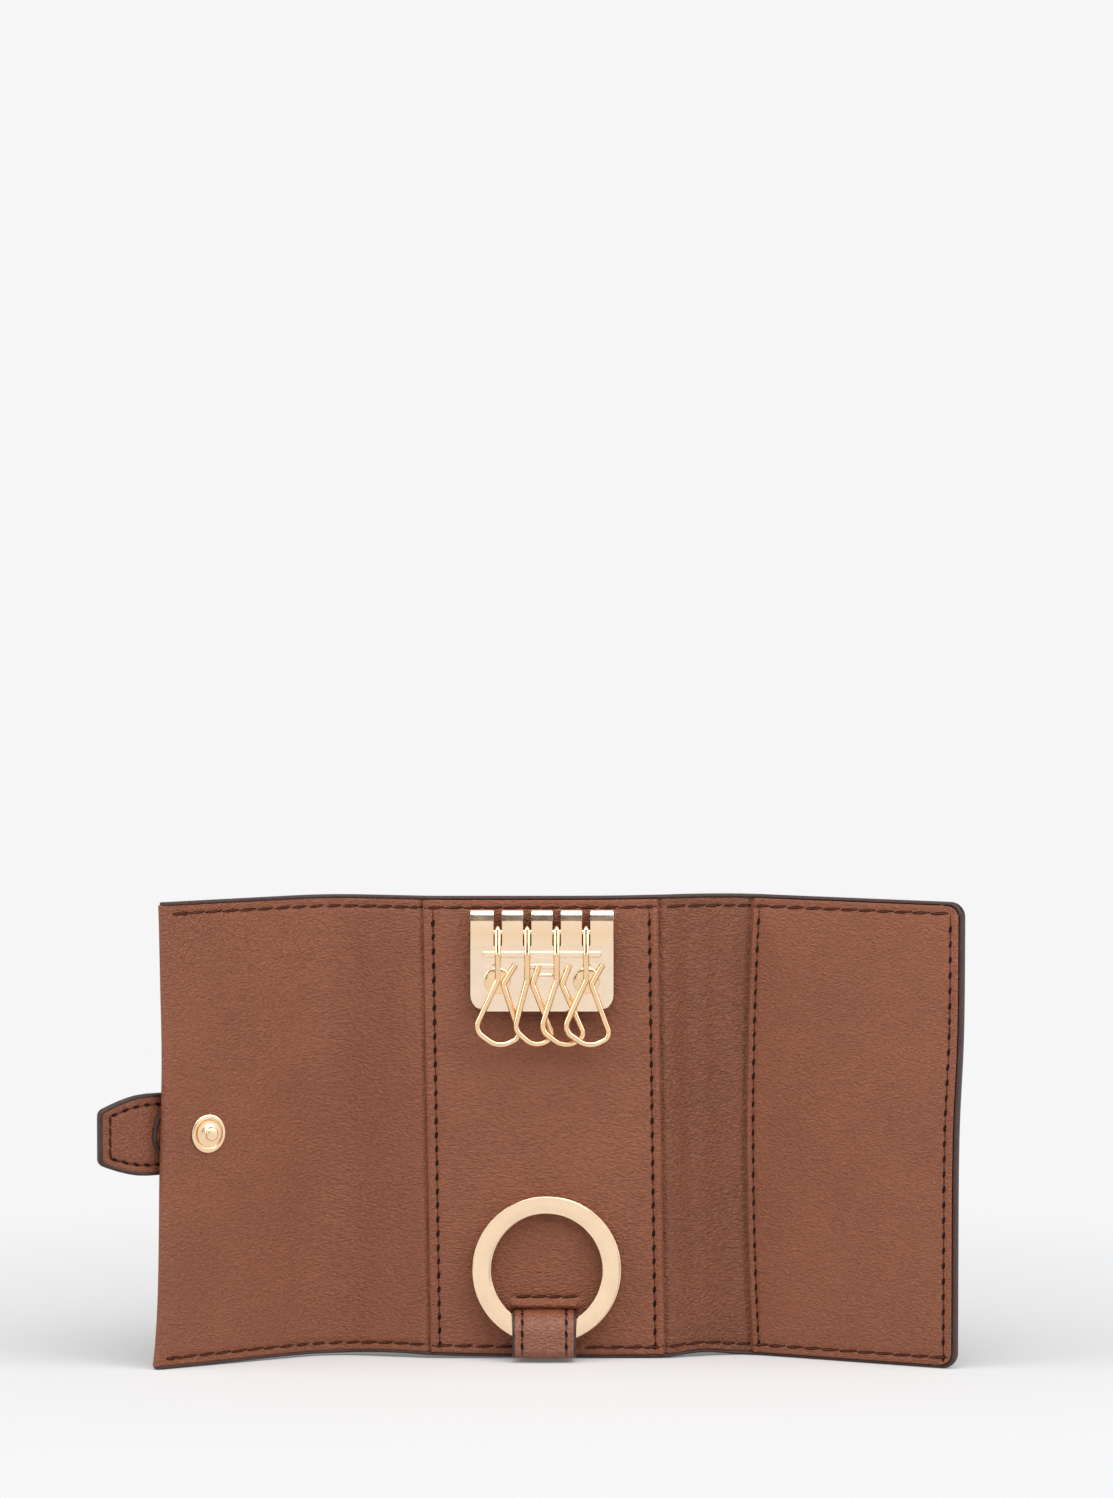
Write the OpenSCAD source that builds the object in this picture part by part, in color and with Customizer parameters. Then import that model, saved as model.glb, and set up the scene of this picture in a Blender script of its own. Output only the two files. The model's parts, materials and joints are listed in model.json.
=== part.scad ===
// Key case: five leather leaves in a row that fold round four key hooks and a split ring.
// Millimetres, +Z up the case, the open side faces -Y, the origin is under the middle of the
// box that holds the standing case.

/* [Leaves] */
// Height of the case
case_h = 101.6; // [80:0.1:130]
// Back leaf, from fold to fold
back_w = 51.6; // [47:0.1:60]
// Left spine, from fold to fold
left_spine_w = 22.9; // [22.7:0.1:30]
// Left cover, from its fold to the free edge
left_cover_w = 43.2; // [38:0.1:50]
// Right spine, from fold to fold
right_spine_w = 18.5; // [17:0.1:19]
// Right cover, from its fold to the free edge
right_cover_w = 52.7; // [45:0.1:54]
// Thickness of a leaf
leaf_t = 2.4; // [2.2:0.1:2.6]
// Thickness of the outer leather
shell_t = 1; // [0.9:0.05:1.1]
// Thickness of the board or padding inside a leaf
board_t = 0.6; // [0.5:0.05:0.7]
// Thickness of the paint on the cut edges
paint_t = 0.4; // [0.2:0.05:0.6]
// Corner radius at the free edge of the right cover
corner_r = 2.7; // [1:0.1:6]
// How far the facing of the back leaf stops short of the cut edges
facing_inset = 0.9; // [0.6:0.1:2]

/* [Standing pose] */
// Angle that the left spine leans back
left_lean = 15; // [0:1:25]
// Fold between the left spine and the left cover
left_fold = 48; // [30:1:70]
// Angle that the right spine leans back
right_lean = 20.2; // [0:0.1:25]
// Fold between the right spine and the right cover
right_fold = 47.1; // [30:0.1:70]
// Outward slant of the right spine when the case is shut
shut_slant = 10; // [9:0.5:14]

/* [Pocket] */
// Thickness of the leather behind the pocket
backing_t = 0.4; // [0.3:0.05:0.5]
// Thickness of the pocket panel
pocket_t = 0.8; // [0.5:0.05:1]
// Bow of the pocket's open edge
pocket_bow = 2; // [0:0.1:4]

/* [Tab] */
// Height of the tab over the cover
tab_h = 17.7; // [14:0.1:24]
// Height of the tab at its outer end
tab_end_h = 11.4; // [8:0.1:13]
// Reach of the tab past the free edge
tab_reach = 13.4; // [10:0.1:18]
// Length of the tab over the cover
tab_hold = 22; // [20:0.1:28]
// Thickness of the tab's outer leather
tab_outer_t = 0.9; // [0.6:0.1:1.2]
// Thickness of the tab's inner leather
tab_inner_t = 0.7; // [0.5:0.1:1]
// Radius of the keeper's round end
keeper_r = 5.4; // [4.8:0.1:7]
// Thickness of the keeper
keeper_t = 0.8; // [0.5:0.1:1]
// Reach of the keeper past the free edge
keeper_reach = 0.3; // [0:0.1:1]

/* [Snap] */
// Distance of the snap from the free edge of the left cover
snap_inset = 11.9; // [8:0.1:15]
// Diameter of the stud's flange
stud_d = 8.5; // [7:0.1:9]
// Thickness of the stud's flange
stud_rim_t = 0.5; // [0.3:0.05:0.6]
// Diameter of the stud's head
stud_head_d = 2.9; // [2.4:0.1:3.2]
// Height of the stud over the lining
stud_h = 2.1; // [1.8:0.05:2.1]
// Diameter of the snap's cap
cap_d = 9.5; // [8:0.1:11]
// Height of the snap's cap
cap_h = 1.2; // [0.8:0.1:2]
// Diameter of the cap's post
post_d = 1.5; // [1.2:0.1:1.7]
// Diameter of the socket
socket_d = 8.6; // [8:0.1:10]
// Height of the socket over the leather
socket_h = 1.6; // [1.4:0.05:1.65]

/* [Key plate] */
// Width of the key plate
plate_w = 31.8; // [30:0.1:40]
// Height of the key plate
plate_h = 22.8; // [22:0.1:30]
// Thickness of the plate's sheet
plate_t = 0.65; // [0.5:0.05:0.7]
// Distance of the plate's face from the leather
plate_stand = 3.2; // [3.1:0.05:3.5]
// Distance of the plate from the top of the case
plate_drop = 2.2; // [1.5:0.1:12]
// Shift of the plate to the left of the leaf's middle
plate_shift = 0.8; // [0:0.1:3]
// Radius of the plate's lower corners
plate_corner_r = 3; // [1:0.1:5]
// Width of the slots between the plate's tongues
slot_w = 1.8; // [1.5:0.1:2.5]
// Depth of the slots
slot_depth = 7.6; // [7.5:0.1:8]
// Diameter of the rivet heads
rivet_d = 5.8; // [4:0.1:6]
// Distance between the rivets
rivet_span = 19.5; // [18:0.1:21]
// Distance of the rivets from the plate's top
rivet_drop = 16; // [15.5:0.1:17]
// Distance of the pressed rib from the plate's top
rib_drop = 10.2; // [10:0.1:10.8]
// Height of the pressed rib
rib_h = 1.5; // [1:0.1:1.5]

/* [Hooks] */
// Number of key hooks
hook_count = 4; // [4:1:4]
// Distance from hook to hook
hook_pitch = 6.5; // [6.4:0.05:7]
// Diameter of the hook's wire
wire_d = 1.1; // [0.9:0.05:1.15]
// Width of the hook's loop
loop_w = 9.8; // [8:0.1:10]
// Reach of the hook below the axle
hook_reach = 24.4; // [22:0.1:26]
// Turn of each hook about its shank, so that the loops lie one over the other
hook_turn = 13; // [12.5:0.1:13.5]
// Diameter of the axle
axle_d = 1.2; // [1:0.05:1.25]
// Distance of the axle from the plate's top
axle_drop = 5.5; // [5.4:0.1:5.7]

/* [Split ring] */
// Outer diameter of the ring
ring_d = 33.4; // [26:0.1:36]
// Width of the ring's band
band_w = 4; // [3:0.1:4.2]
// Thickness of one coil
coil_t = 0.8; // [0.6:0.05:0.85]
// Gap between the two coils
coil_gap = 0.45; // [0.41:0.01:0.5]

/* [Ring strap] */
// Width of the strap
strap_w = 14; // [10:0.1:15]
// Thickness of the strap
strap_t = 1.1; // [0.8:0.05:1.3]
// Height of the ring's pivot over the foot of the case
pivot_z = 6.2; // [6:0.1:9]
// Height of the strap's lower run over the foot of the case
strap_foot = 1; // [0.6:0.1:1.5]
// Clear radius inside the strap's loop
loop_r = 3.5; // [3.5:0.05:4]

/* [Stitching] */
// Distance from stitch to stitch
stitch_pitch = 3.5; // [2.5:0.1:5]
// Length of a stitch
stitch_len = 2.6; // [1.5:0.1:3]
// Thickness of the thread
thread_d = 0.5; // [0.3:0.05:0.7]
// Distance of a seam from the edge of the leather
seam_inset = 1.9; // [1.5:0.1:3]

/* [Hidden] */
$fn = 64;

// Colours
leather = [0.51, 0.32, 0.25];
suede = [0.45, 0.29, 0.22];
paint = [0.23, 0.18, 0.17];
card = [0.35, 0.27, 0.22];
thread = [0.26, 0.13, 0.09];
gold = [0.93, 0.80, 0.58];

// One overrun for every cut, the play of a seat, and the running play on the axle
over = 1;
play = 0.1;
run_play = 0.05;

// The layers of a leaf, measured from its middle: +Y is outside
half_t = leaf_t / 2;
shell_in = half_t - shell_t;
lining_out = shell_in - board_t;

// A fold turns on the middle of the leaf. The spine ends round there, and its neighbour
// starts far enough away to fold up without touching it.
function fold_start(angle, inner) = (half_t + play - inner * cos(angle)) / sin(angle);
square_start = fold_start(90, half_t);
pocket_in = backing_t + pocket_t - lining_out;
right_start = fold_start(90 + shut_slant, half_t);
panel_start = fold_start(90 + shut_slant, pocket_in);
back_half = back_w / 2 - square_start;

// Standing directions of the covers, below the line of the back leaf
left_angle = left_fold - left_lean;
right_angle = right_fold - right_lean;

// Places in plan, as if both sides opened to the right: fold lines and free ends
left_fold_x = back_w / 2 + left_spine_w * cos(left_lean);
left_fold_y = left_spine_w * sin(left_lean);
right_fold_x = back_w / 2 + right_spine_w * cos(right_lean);
right_fold_y = right_spine_w * sin(right_lean);
tab_face = half_t + keeper_t;
tab_back = tab_face + tab_inner_t + tab_outer_t;
tab_end = left_cover_w + tab_reach;
reach_left = left_fold_x + tab_end * cos(left_angle) + tab_back * sin(left_angle);
reach_right = right_fold_x + right_cover_w * cos(right_angle) + half_t * sin(right_angle);
reach_front = tab_end * sin(left_angle) - tab_face * cos(left_angle) - left_fold_y;
reach_back = max(left_fold_y, right_fold_y) + half_t;
box_mid = [(reach_right - reach_left) / 2, (reach_back - reach_front) / 2];

// Snap: it sits at half height, and the socket meets the stud when the case is shut
snap_x = left_cover_w - snap_inset;
snap_z = case_h / 2;
socket_x = back_w + right_spine_w * sin(shut_slant) - snap_x;
socket_seat = shell_t * 0.4;
post_hole_r = post_d / 2 + run_play;

// Tab: half heights along it, as shares of its reach and of its taper
tab_taper = (tab_h - tab_end_h) / 2;
tab_side_shares = [[0.1, 0], [0.28, 0.07], [0.46, 0.24], [0.62, 0.46], [0.78, 0.72], [0.9, 0.94]];
tab_corner_shares = [[0.965, 1.1], [0.995, 1.45]];
tab_inner_end = left_cover_w - tab_hold;
tab_arc_steps = 20;

// Key plate: its section, seen from the side
plate_top = case_h - plate_drop;
plate_face = half_t + plate_stand;
plate_back = plate_face - plate_t;
roll_r = plate_stand / 2;
roll_z = plate_top - roll_r;
slot_z = plate_top - slot_depth;
axle_z = plate_top - axle_drop;
eye_r = axle_d / 2 + run_play + wire_d;
axle_y = half_t + eye_r + play;
knuckle_r = axle_d / 2 + run_play + plate_t;
rivet_z = plate_top - rivet_drop;
rivet_shank_r = rivet_d / 6;
rivet_head_h = rivet_d * 0.08;
washer_r = rivet_d / 2;
washer_t = shell_t * 0.3;
boss_r = rivet_shank_r * 2;

// Hooks: how far each loop reaches left and right of its shank and where its tip stands, as
// shares of the loop's width
loop_left_shares = [0.54, 0.29, 0.36, 0.5];
loop_right_shares = [0.5, 0.57, 0.63, 0.55];
loop_tip_shares = [0.38, 0.27, 0.28, 0.37];
eye_w = wire_d * 0.9;
wire_sides = 12;
bend_steps = 5;
eye_front = eye_r - wire_d * 0.4;
shank_y = plate_face + rib_h / 2 + wire_d / 2 + play - axle_y;
shank_start = hook_reach * 0.095;

// Ring: it turns on the middle of the part that lies inside the strap
ring_r = ring_d / 2;
hole_r = ring_r - band_w;
ring_depth = ring_r - sqrt(pow(hole_r, 2) - pow(strap_w / 2, 2));
pivot_r = ring_r - ring_depth / 2;
pivot_y = half_t + loop_r + run_play;
ring_t = 2 * coil_t + coil_gap;
ring_lean = asin((loop_r + run_play - ring_t / 2 - 3 * play) / (pivot_r + ring_r));
coil_h = (coil_t + coil_gap) / 2;
jog_arc = 30;
jog_at = 215;
end_arc = 4;
coil_steps = 72;
coil_first = jog_arc / 2 + end_arc;
coil_last = 720 - coil_first;
edge_cut = coil_t / 4;

// Strap: its section, seen from the side
strap_front = pivot_y + loop_r + strap_t;
strap_bend_r = strap_t * 1.8;
strap_top = pivot_z + loop_r + strap_t;
strap_room_w = strap_w + 2 * play;
tail_up = strap_t * 5;
tail_down = strap_t * 4.5;
strap_seam_z = strap_top + seam_inset;

function smooth(t) = t * t * (3 - 2 * t);
function coil_level(a) = (2 * smooth(min(1, max(0, (a - 360) / jog_arc + 0.5))) - 1) * coil_h;
function coil_angle(i) = coil_first + (coil_last - coil_first) * i / coil_steps;
coil_gaps = [
    for (i = [0 : coil_steps])
        let (a = coil_angle(i))
            if (a >= coil_first + 360) coil_level(a) - coil_level(a - 360) - coil_t
];
echo(least_gap_between_coils = min(coil_gaps));

// Places a side: the left one is the mirror image of the right one
module at_side(side) {
    if (side < 0)
        mirror([1, 0, 0]) children();
    else
        children();
}

// Shifts the back leaf so that the origin is under the middle of the box
module standing() {
    translate([-box_mid.x, -box_mid.y, 0]) children();
}

module on_spine(side) {
    standing() at_side(side)
        translate([back_w / 2, 0, 0]) rotate([0, 0, side < 0 ? left_lean : right_lean]) children();
}

module on_cover(side) {
    width = side < 0 ? left_spine_w : right_spine_w;
    on_spine(side)
        translate([width, 0, 0]) rotate([0, 0, side < 0 ? -left_fold : -right_fold]) children();
}

// A flat layer of a leaf, between two heights and two depths
module layer(x0, x1, inner, outer, inset) {
    translate([x0, inner, inset]) cube([x1 - x0, outer - inner, case_h - 2 * inset]);
}

// A layer of a spine: round at both folds, seen from above
module spine_layer(width, inner, outer, z0, z1) {
    translate([0, 0, z0]) linear_extrude(z1 - z0) intersection() {
        union() {
            circle(half_t);
            translate([width, 0]) circle(half_t);
            translate([0, -half_t]) square([width, leaf_t]);
        }
        translate([-half_t, inner]) square([width + leaf_t, outer - inner]);
    }
}

// A round hole or peg through a leaf, on a line across it
module across(x, z, r, inner, outer) {
    translate([x, outer, z]) rotate([90, 0, 0]) cylinder(r = r, h = outer - inner);
}

// The outline of the right cover, with its two round corners
module cover_outline(width, inset, r) {
    difference() {
        translate([0, inset]) square([width - inset, case_h - 2 * inset]);
        for (low = [0, 1])
            translate([width - inset, low ? inset : case_h - inset]) mirror([0, low, 0])
                difference() {
                    translate([-r, -r]) square(r + over);
                    translate([-r, -r]) circle(r);
                }
    }
}

module cover_layer(x0, inner, outer, inset) {
    intersection() {
        layer(x0, right_cover_w, inner, outer, 0);
        translate([0, outer + over, 0]) rotate([90, 0, 0])
            linear_extrude(outer - inner + 2 * over)
                cover_outline(right_cover_w, inset, corner_r - inset);
    }
}

// One stitch lies flat on a face that looks to -Y
module stitch() {
    rotate([0, 90, 0]) cylinder(d = thread_d, h = stitch_len, center = true, $fn = 6);
}

// A straight seam between two points of a face, given as [x, z]
module seam(from, to, face) {
    run = to - from;
    count = max(1, floor(norm(run) / stitch_pitch));
    for (i = [0 : count - 1])
        let (at = from + run * (i + 0.5) / count)
            translate([at.x, -face - thread_d / 2 * cos(30), at.y])
                rotate([0, -atan2(run.y, run.x), 0]) stitch();
}

module edge_seams(x0, x1, face) {
    for (z = [seam_inset, case_h - seam_inset])
        seam([x0, z], [x1, z], face);
}

// Back leaf
module strap_room(z0, z1) {
    translate([-strap_room_w / 2, -half_t - over, z0])
        cube([strap_room_w, half_t + over + shell_in, z1 - z0]);
}

module rivet_holes(r, inner, outer) {
    for (side = [-1, 1])
        across(side * rivet_span / 2 - plate_shift, rivet_z, r, inner, outer);
}

module outer_back() {
    color(leather) standing() difference() {
        layer(-back_half, back_half, shell_in, half_t, paint_t);
        rivet_holes(washer_r + play, shell_in - over, shell_in + washer_t + run_play);
    }
}

module board_back() {
    color(card) standing() difference() {
        layer(-back_half, back_half, lining_out, shell_in, paint_t);
        strap_room(strap_foot - play, strap_top + tail_up + play);
        rivet_holes(rivet_shank_r + run_play, lining_out - over, shell_in + over);
    }
}

module center_facing() {
    color(leather) standing() difference() {
        layer(-back_half, back_half, -half_t, lining_out, facing_inset);
        strap_room(-over, strap_foot + strap_t + play);
        strap_room(strap_top - strap_t - play, strap_top + play);
        rivet_holes(rivet_shank_r + run_play, -half_t - over, half_t + over);
    }
}

module edge_paint_back() {
    color(paint) standing()
        for (z = [0, case_h - paint_t])
            translate([-back_half, -half_t, z]) cube([2 * back_half, leaf_t, paint_t]);
}

module facing_stitching() {
    seam_x = back_half - seam_inset * 0.7;
    low = facing_inset + seam_inset * 0.6;
    top = case_h - low;
    beside = strap_room_w / 2;
    color(thread) standing() {
        for (side = [-1, 1]) {
            seam([side * seam_x, low], [side * seam_x, top], half_t);
            seam([side * seam_x, low], [side * beside, low], half_t);
        }
        seam([-seam_x, top], [seam_x, top], half_t);
        seam([-beside, strap_seam_z], [beside, strap_seam_z], half_t);
    }
}

// Spines
module outer_spine(side) {
    width = side < 0 ? left_spine_w : right_spine_w;
    color(leather) on_spine(side) spine_layer(width, shell_in, half_t, paint_t, case_h - paint_t);
}

module padding_spine(side) {
    width = side < 0 ? left_spine_w : right_spine_w;
    color(card) on_spine(side)
        spine_layer(width, lining_out, shell_in, paint_t, case_h - paint_t);
}

module lining_spine(side) {
    width = side < 0 ? left_spine_w : right_spine_w;
    color(suede) on_spine(side)
        spine_layer(width, -half_t, lining_out, paint_t, case_h - paint_t);
}

module edge_paint_spine(side) {
    width = side < 0 ? left_spine_w : right_spine_w;
    color(paint) on_spine(side)
        for (z = [0, case_h - paint_t])
            spine_layer(width, -half_t, half_t, z, z + paint_t);
}

module spine_stitching(side) {
    width = side < 0 ? left_spine_w : right_spine_w;
    color(thread) on_spine(side) edge_seams(stitch_pitch / 2, width - stitch_pitch / 2, half_t);
}

module outer_left_spine() { outer_spine(-1); }
module padding_left_spine() { padding_spine(-1); }
module lining_left_spine() { lining_spine(-1); }
module edge_paint_left_spine() { edge_paint_spine(-1); }
module left_spine_stitching() { spine_stitching(-1); }
module outer_right_spine() { outer_spine(1); }
module padding_right_spine() { padding_spine(1); }
module lining_right_spine() { lining_spine(1); }
module edge_paint_right_spine() { edge_paint_spine(1); }
module right_spine_stitching() { spine_stitching(1); }

// Left cover: its lining is turned round the free edge
turned_x = left_cover_w - half_t;

module snap_hole() {
    across(snap_x, snap_z, post_hole_r, -half_t - over, tab_back + over);
}

module outer_left_cover() {
    color(leather) on_cover(-1) difference() {
        layer(square_start, turned_x, shell_in, half_t, paint_t);
        snap_hole();
    }
}

module board_left_cover() {
    color(card) on_cover(-1) difference() {
        layer(square_start, turned_x, lining_out, shell_in, paint_t);
        snap_hole();
    }
}

module lining_left_cover() {
    color(leather) on_cover(-1) difference() {
        union() {
            layer(square_start, turned_x, -half_t, lining_out, paint_t);
            intersection() {
                translate([turned_x, 0, 0]) cylinder(r = half_t, h = case_h);
                layer(turned_x, left_cover_w, -half_t, half_t, 0);
            }
        }
        snap_hole();
    }
}

module edge_paint_left_cover() {
    color(paint) on_cover(-1)
        for (z = [0, case_h - paint_t])
            translate([square_start, -half_t, z])
                cube([turned_x - square_start, leaf_t, paint_t]);
}

module left_cover_stitching() {
    color(thread) on_cover(-1)
        edge_seams(square_start, turned_x - seam_inset / 2, half_t);
}

// Tab: two leathers on the outside of the left cover, over a keeper
function tab_edge(up) = [
    for (s = concat([[0, 0]], tab_side_shares, tab_corner_shares))
        [left_cover_w + tab_reach * s.x, snap_z + up * (tab_h / 2 - tab_taper * s.y)]
];
function reversed(list) = [for (i = [len(list) - 1 : -1 : 0]) list[i]];

module tab_outline() {
    held = tab_h / 2;
    polygon(concat(
        tab_edge(1), [[tab_end, snap_z]], reversed(tab_edge(-1)),
        [for (a = [270 : -180 / tab_arc_steps : 90])
            [tab_inner_end + held * cos(a), snap_z + held * sin(a)]]
    ));
}

module tab_leather(inner, outer) {
    difference() {
        translate([0, outer, 0]) rotate([90, 0, 0]) linear_extrude(outer - inner) tab_outline();
        snap_hole();
    }
}

module tab_keeper() {
    keeper_end = left_cover_w + keeper_reach - keeper_r;
    color(suede) on_cover(-1) difference() {
        union() {
            across(keeper_end, snap_z, keeper_r, half_t, tab_face);
            across(snap_x, snap_z, keeper_r, half_t, tab_face);
            translate([snap_x, half_t, snap_z - keeper_r])
                cube([keeper_end - snap_x, keeper_t, 2 * keeper_r]);
        }
        snap_hole();
    }
}

module tab_inner() {
    color(suede) on_cover(-1) tab_leather(tab_face, tab_face + tab_inner_t);
}

module tab_outer() {
    color(leather) on_cover(-1) tab_leather(tab_face + tab_inner_t, tab_back);
}

module tab_stitching() {
    seam_h = tab_h / 2 - seam_inset;
    end_x = tab_end - 1.5 * seam_inset;
    end_h = seam_h - tab_taper * 0.9;
    mid_x = left_cover_w + tab_reach * 0.3;
    color(thread) on_cover(-1)
        for (up = [-1, 1]) {
            seam([left_cover_w, snap_z + up * seam_h], [mid_x, snap_z + up * seam_h], -tab_face);
            seam([mid_x, snap_z + up * seam_h], [end_x, snap_z + up * end_h], -tab_face);
            seam([end_x, snap_z], [end_x, snap_z + up * end_h], -tab_face);
        }
}

// Snap: cap and post outside, stud inside, socket and eyelet in the right cover
module snap_cap() {
    dome_r = (pow(cap_d / 2, 2) + pow(cap_h, 2)) / (2 * cap_h);
    stem = tab_back + half_t + stud_rim_t;
    color(gold) on_cover(-1) {
        translate([snap_x, tab_back, snap_z]) rotate([-90, 0, 0]) {
            intersection() {
                translate([0, 0, cap_h - dome_r]) sphere(dome_r);
                cylinder(d = cap_d, h = cap_h + over);
            }
            translate([0, 0, -stem]) cylinder(d = post_d, h = stem + cap_h / 2);
        }
    }
}

module snap_stud() {
    head_r = stud_head_d / 2;
    neck_r = head_r * 0.76;
    lip_r = stud_h * 0.22;
    cone_top = stud_h - 2 * lip_r;
    color(gold) on_cover(-1) translate([snap_x, -half_t, snap_z]) rotate([90, 0, 0])
        difference() {
            rotate_extrude() difference() {
                union() {
                    square([stud_d / 2, stud_rim_t]);
                    polygon([
                        [0, 0], [head_r, 0], [head_r, stud_rim_t],
                        [neck_r, cone_top], [0, cone_top]
                    ]);
                    translate([0, cone_top]) square([head_r - lip_r, 2 * lip_r]);
                    translate([head_r - lip_r, cone_top + lip_r]) circle(lip_r);
                    translate([0, cone_top - over / 4]) square([neck_r, lip_r]);
                }
                translate([stud_d * 0.39, stud_rim_t]) circle(stud_rim_t * 0.45);
            }
            translate([0, 0, -over]) cylinder(r = post_hole_r, h = over + stud_rim_t + play);
        }
}

module snap_socket() {
    mouth_r = stud_head_d / 2 + play;
    wall = socket_h * 0.22;
    tube_r = stud_head_d / 2;
    color(gold) on_cover(1) translate([socket_x, half_t - socket_seat, snap_z])
        rotate([-90, 0, 0]) rotate_extrude() difference() {
            union() {
                translate([tube_r + play, 0]) square([socket_d / 2 - tube_r - play, wall]);
                square([socket_d / 2 - wall, socket_seat + socket_h]);
                square([socket_d / 2, socket_seat + socket_h - wall]);
                translate([socket_d / 2 - wall, socket_seat + socket_h - wall]) circle(wall);
            }
            translate([0, wall]) square([socket_d / 2 - wall, socket_seat + socket_h - 2 * wall]);
            square([mouth_r, socket_seat + socket_h + over]);
        }
}

module socket_eyelet() {
    wall = socket_h * 0.22;
    tube_r = stud_head_d / 2;
    rim_t = backing_t / 2;
    base = lining_out - rim_t;
    reach = half_t - socket_seat + wall - base;
    color(gold) on_cover(1) translate([socket_x, base, snap_z]) rotate([-90, 0, 0])
        rotate_extrude() difference() {
            union() {
                square([socket_d * 0.45, rim_t]);
                square([tube_r, reach]);
            }
            translate([0, rim_t]) square([tube_r * 0.7, reach]);
        }
}

// Right cover, with the slip pocket on its inside
module outer_right_cover() {
    color(leather) on_cover(1) difference() {
        cover_layer(right_start, shell_in, half_t, paint_t);
        across(socket_x, snap_z, socket_d / 2 + play, half_t - socket_seat, half_t + over);
        across(socket_x, snap_z, stud_head_d / 2 + play, -over, half_t + over);
    }
}

module board_right_cover() {
    color(card) on_cover(1) difference() {
        cover_layer(right_start, lining_out, shell_in, paint_t);
        across(socket_x, snap_z, stud_head_d / 2 + play, lining_out - over, half_t);
    }
}

module pocket_backing() {
    color(suede) on_cover(1) difference() {
        cover_layer(panel_start, lining_out - backing_t, lining_out, paint_t);
        across(socket_x, snap_z, socket_d * 0.45 + play, lining_out - backing_t / 2, half_t);
    }
}

// The pocket's open edge is one long arc
module pocket_panel() {
    chord = case_h - 2 * paint_t;
    bow_r = (pow(chord / 2, 2) + pow(pocket_bow, 2)) / (2 * pocket_bow);
    color(leather) on_cover(1) intersection() {
        cover_layer(panel_start, -pocket_in, lining_out - backing_t, paint_t);
        across(panel_start + bow_r, case_h / 2, bow_r, -pocket_in - over, half_t);
    }
}

module edge_paint_right_cover() {
    color(paint) on_cover(1) difference() {
        cover_layer(right_start, -half_t, half_t, 0);
        translate([0, half_t + over, 0]) rotate([90, 0, 0]) linear_extrude(leaf_t + 2 * over)
            cover_outline(right_cover_w, paint_t, corner_r - paint_t);
    }
}

module right_cover_stitching() {
    free_x = right_cover_w - 1.4 * seam_inset;
    first_x = panel_start + pocket_bow + seam_inset / 2;
    low = seam_inset;
    top = case_h - seam_inset;
    color(thread) on_cover(1) {
        edge_seams(first_x, free_x, pocket_in);
        seam([free_x, low], [free_x, top], pocket_in);
        for (end = [low, top])
            seam([first_x, end], [first_x - pocket_bow * 0.7, case_h / 2], pocket_in);
    }
}

// Key plate: one sheet, rolled back over the top, with the axle held in its knuckles
module plate_section() {
    translate([plate_face - roll_r, roll_z]) intersection() {
        difference() {
            circle(roll_r);
            circle(roll_r - plate_t);
        }
        translate([-roll_r, 0]) square([2 * roll_r, roll_r]);
    }
    translate([half_t, axle_z]) square([plate_t, roll_z - axle_z]);
    translate([plate_back, slot_z - over]) square([plate_t, roll_z - slot_z + over]);
    translate([axle_y, axle_z]) circle(knuckle_r);
}

module plate_sheet() {
    height = roll_z - plate_top + plate_h;
    difference() {
        translate([-plate_w / 2, 0]) square([plate_w, height]);
        for (side = [0, 1])
            mirror([side, 0, 0]) difference() {
                translate([plate_w / 2 - plate_corner_r, -over])
                    square([plate_corner_r + over, plate_corner_r + over]);
                translate([plate_w / 2 - plate_corner_r, plate_corner_r]) circle(plate_corner_r);
            }
    }
}

module on_plate() {
    standing() translate([-plate_shift, 0, 0]) children();
}

// Turns a side section, drawn as [distance in front of the leaf, height], into a bar along X
module bar(width) {
    translate([width / 2, 0, 0]) rotate([90, 0, -90]) linear_extrude(width) children();
}

module key_plate() {
    lip_w = plate_w * 0.3;
    lip_z = plate_top - rib_drop - 2 * rib_h;
    color(gold) on_plate() difference() {
        union() {
            bar(plate_w) plate_section();
            translate([0, -plate_back, plate_top - plate_h]) rotate([90, 0, 0])
                linear_extrude(plate_t) plate_sheet();
            bar(plate_w * 0.81) translate([plate_face, plate_top - rib_drop]) circle(rib_h / 2);
            bar(lip_w) translate([plate_face, lip_z]) circle(rib_h / 4);
            for (side = [-1, 1])
                across(side * rivet_span / 2, rivet_z, boss_r, -plate_face, -half_t);
        }
        for (i = [0 : hook_count - 1])
            translate([(i - (hook_count - 1) / 2) * hook_pitch - slot_w / 2,
                       -plate_face - over, slot_z])
                cube([slot_w, plate_face + over, slot_depth + over]);
        bar(plate_w + over) translate([axle_y, axle_z]) circle(axle_d / 2 + run_play);
        for (side = [-1, 1])
            across(side * rivet_span / 2, rivet_z, rivet_shank_r + run_play, -plate_face - over,
                   half_t);
    }
}

module hook_axle() {
    color(gold) on_plate() bar(plate_w) translate([axle_y, axle_z]) circle(axle_d / 2);
}

module plate_rivets() {
    dome_r = (pow(rivet_d / 2, 2) + pow(rivet_head_h, 2)) / (2 * rivet_head_h);
    stem = plate_face + shell_in + washer_t;
    color(gold) on_plate()
        for (side = [-1, 1])
            translate([side * rivet_span / 2, -plate_face, rivet_z]) rotate([90, 0, 0]) {
                intersection() {
                    translate([0, 0, rivet_head_h - dome_r]) sphere(dome_r);
                    cylinder(d = rivet_d, h = rivet_head_h + over);
                }
                translate([0, 0, -stem])
                    cylinder(r = rivet_shank_r, h = stem + rivet_head_h / 2);
            }
}

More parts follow.
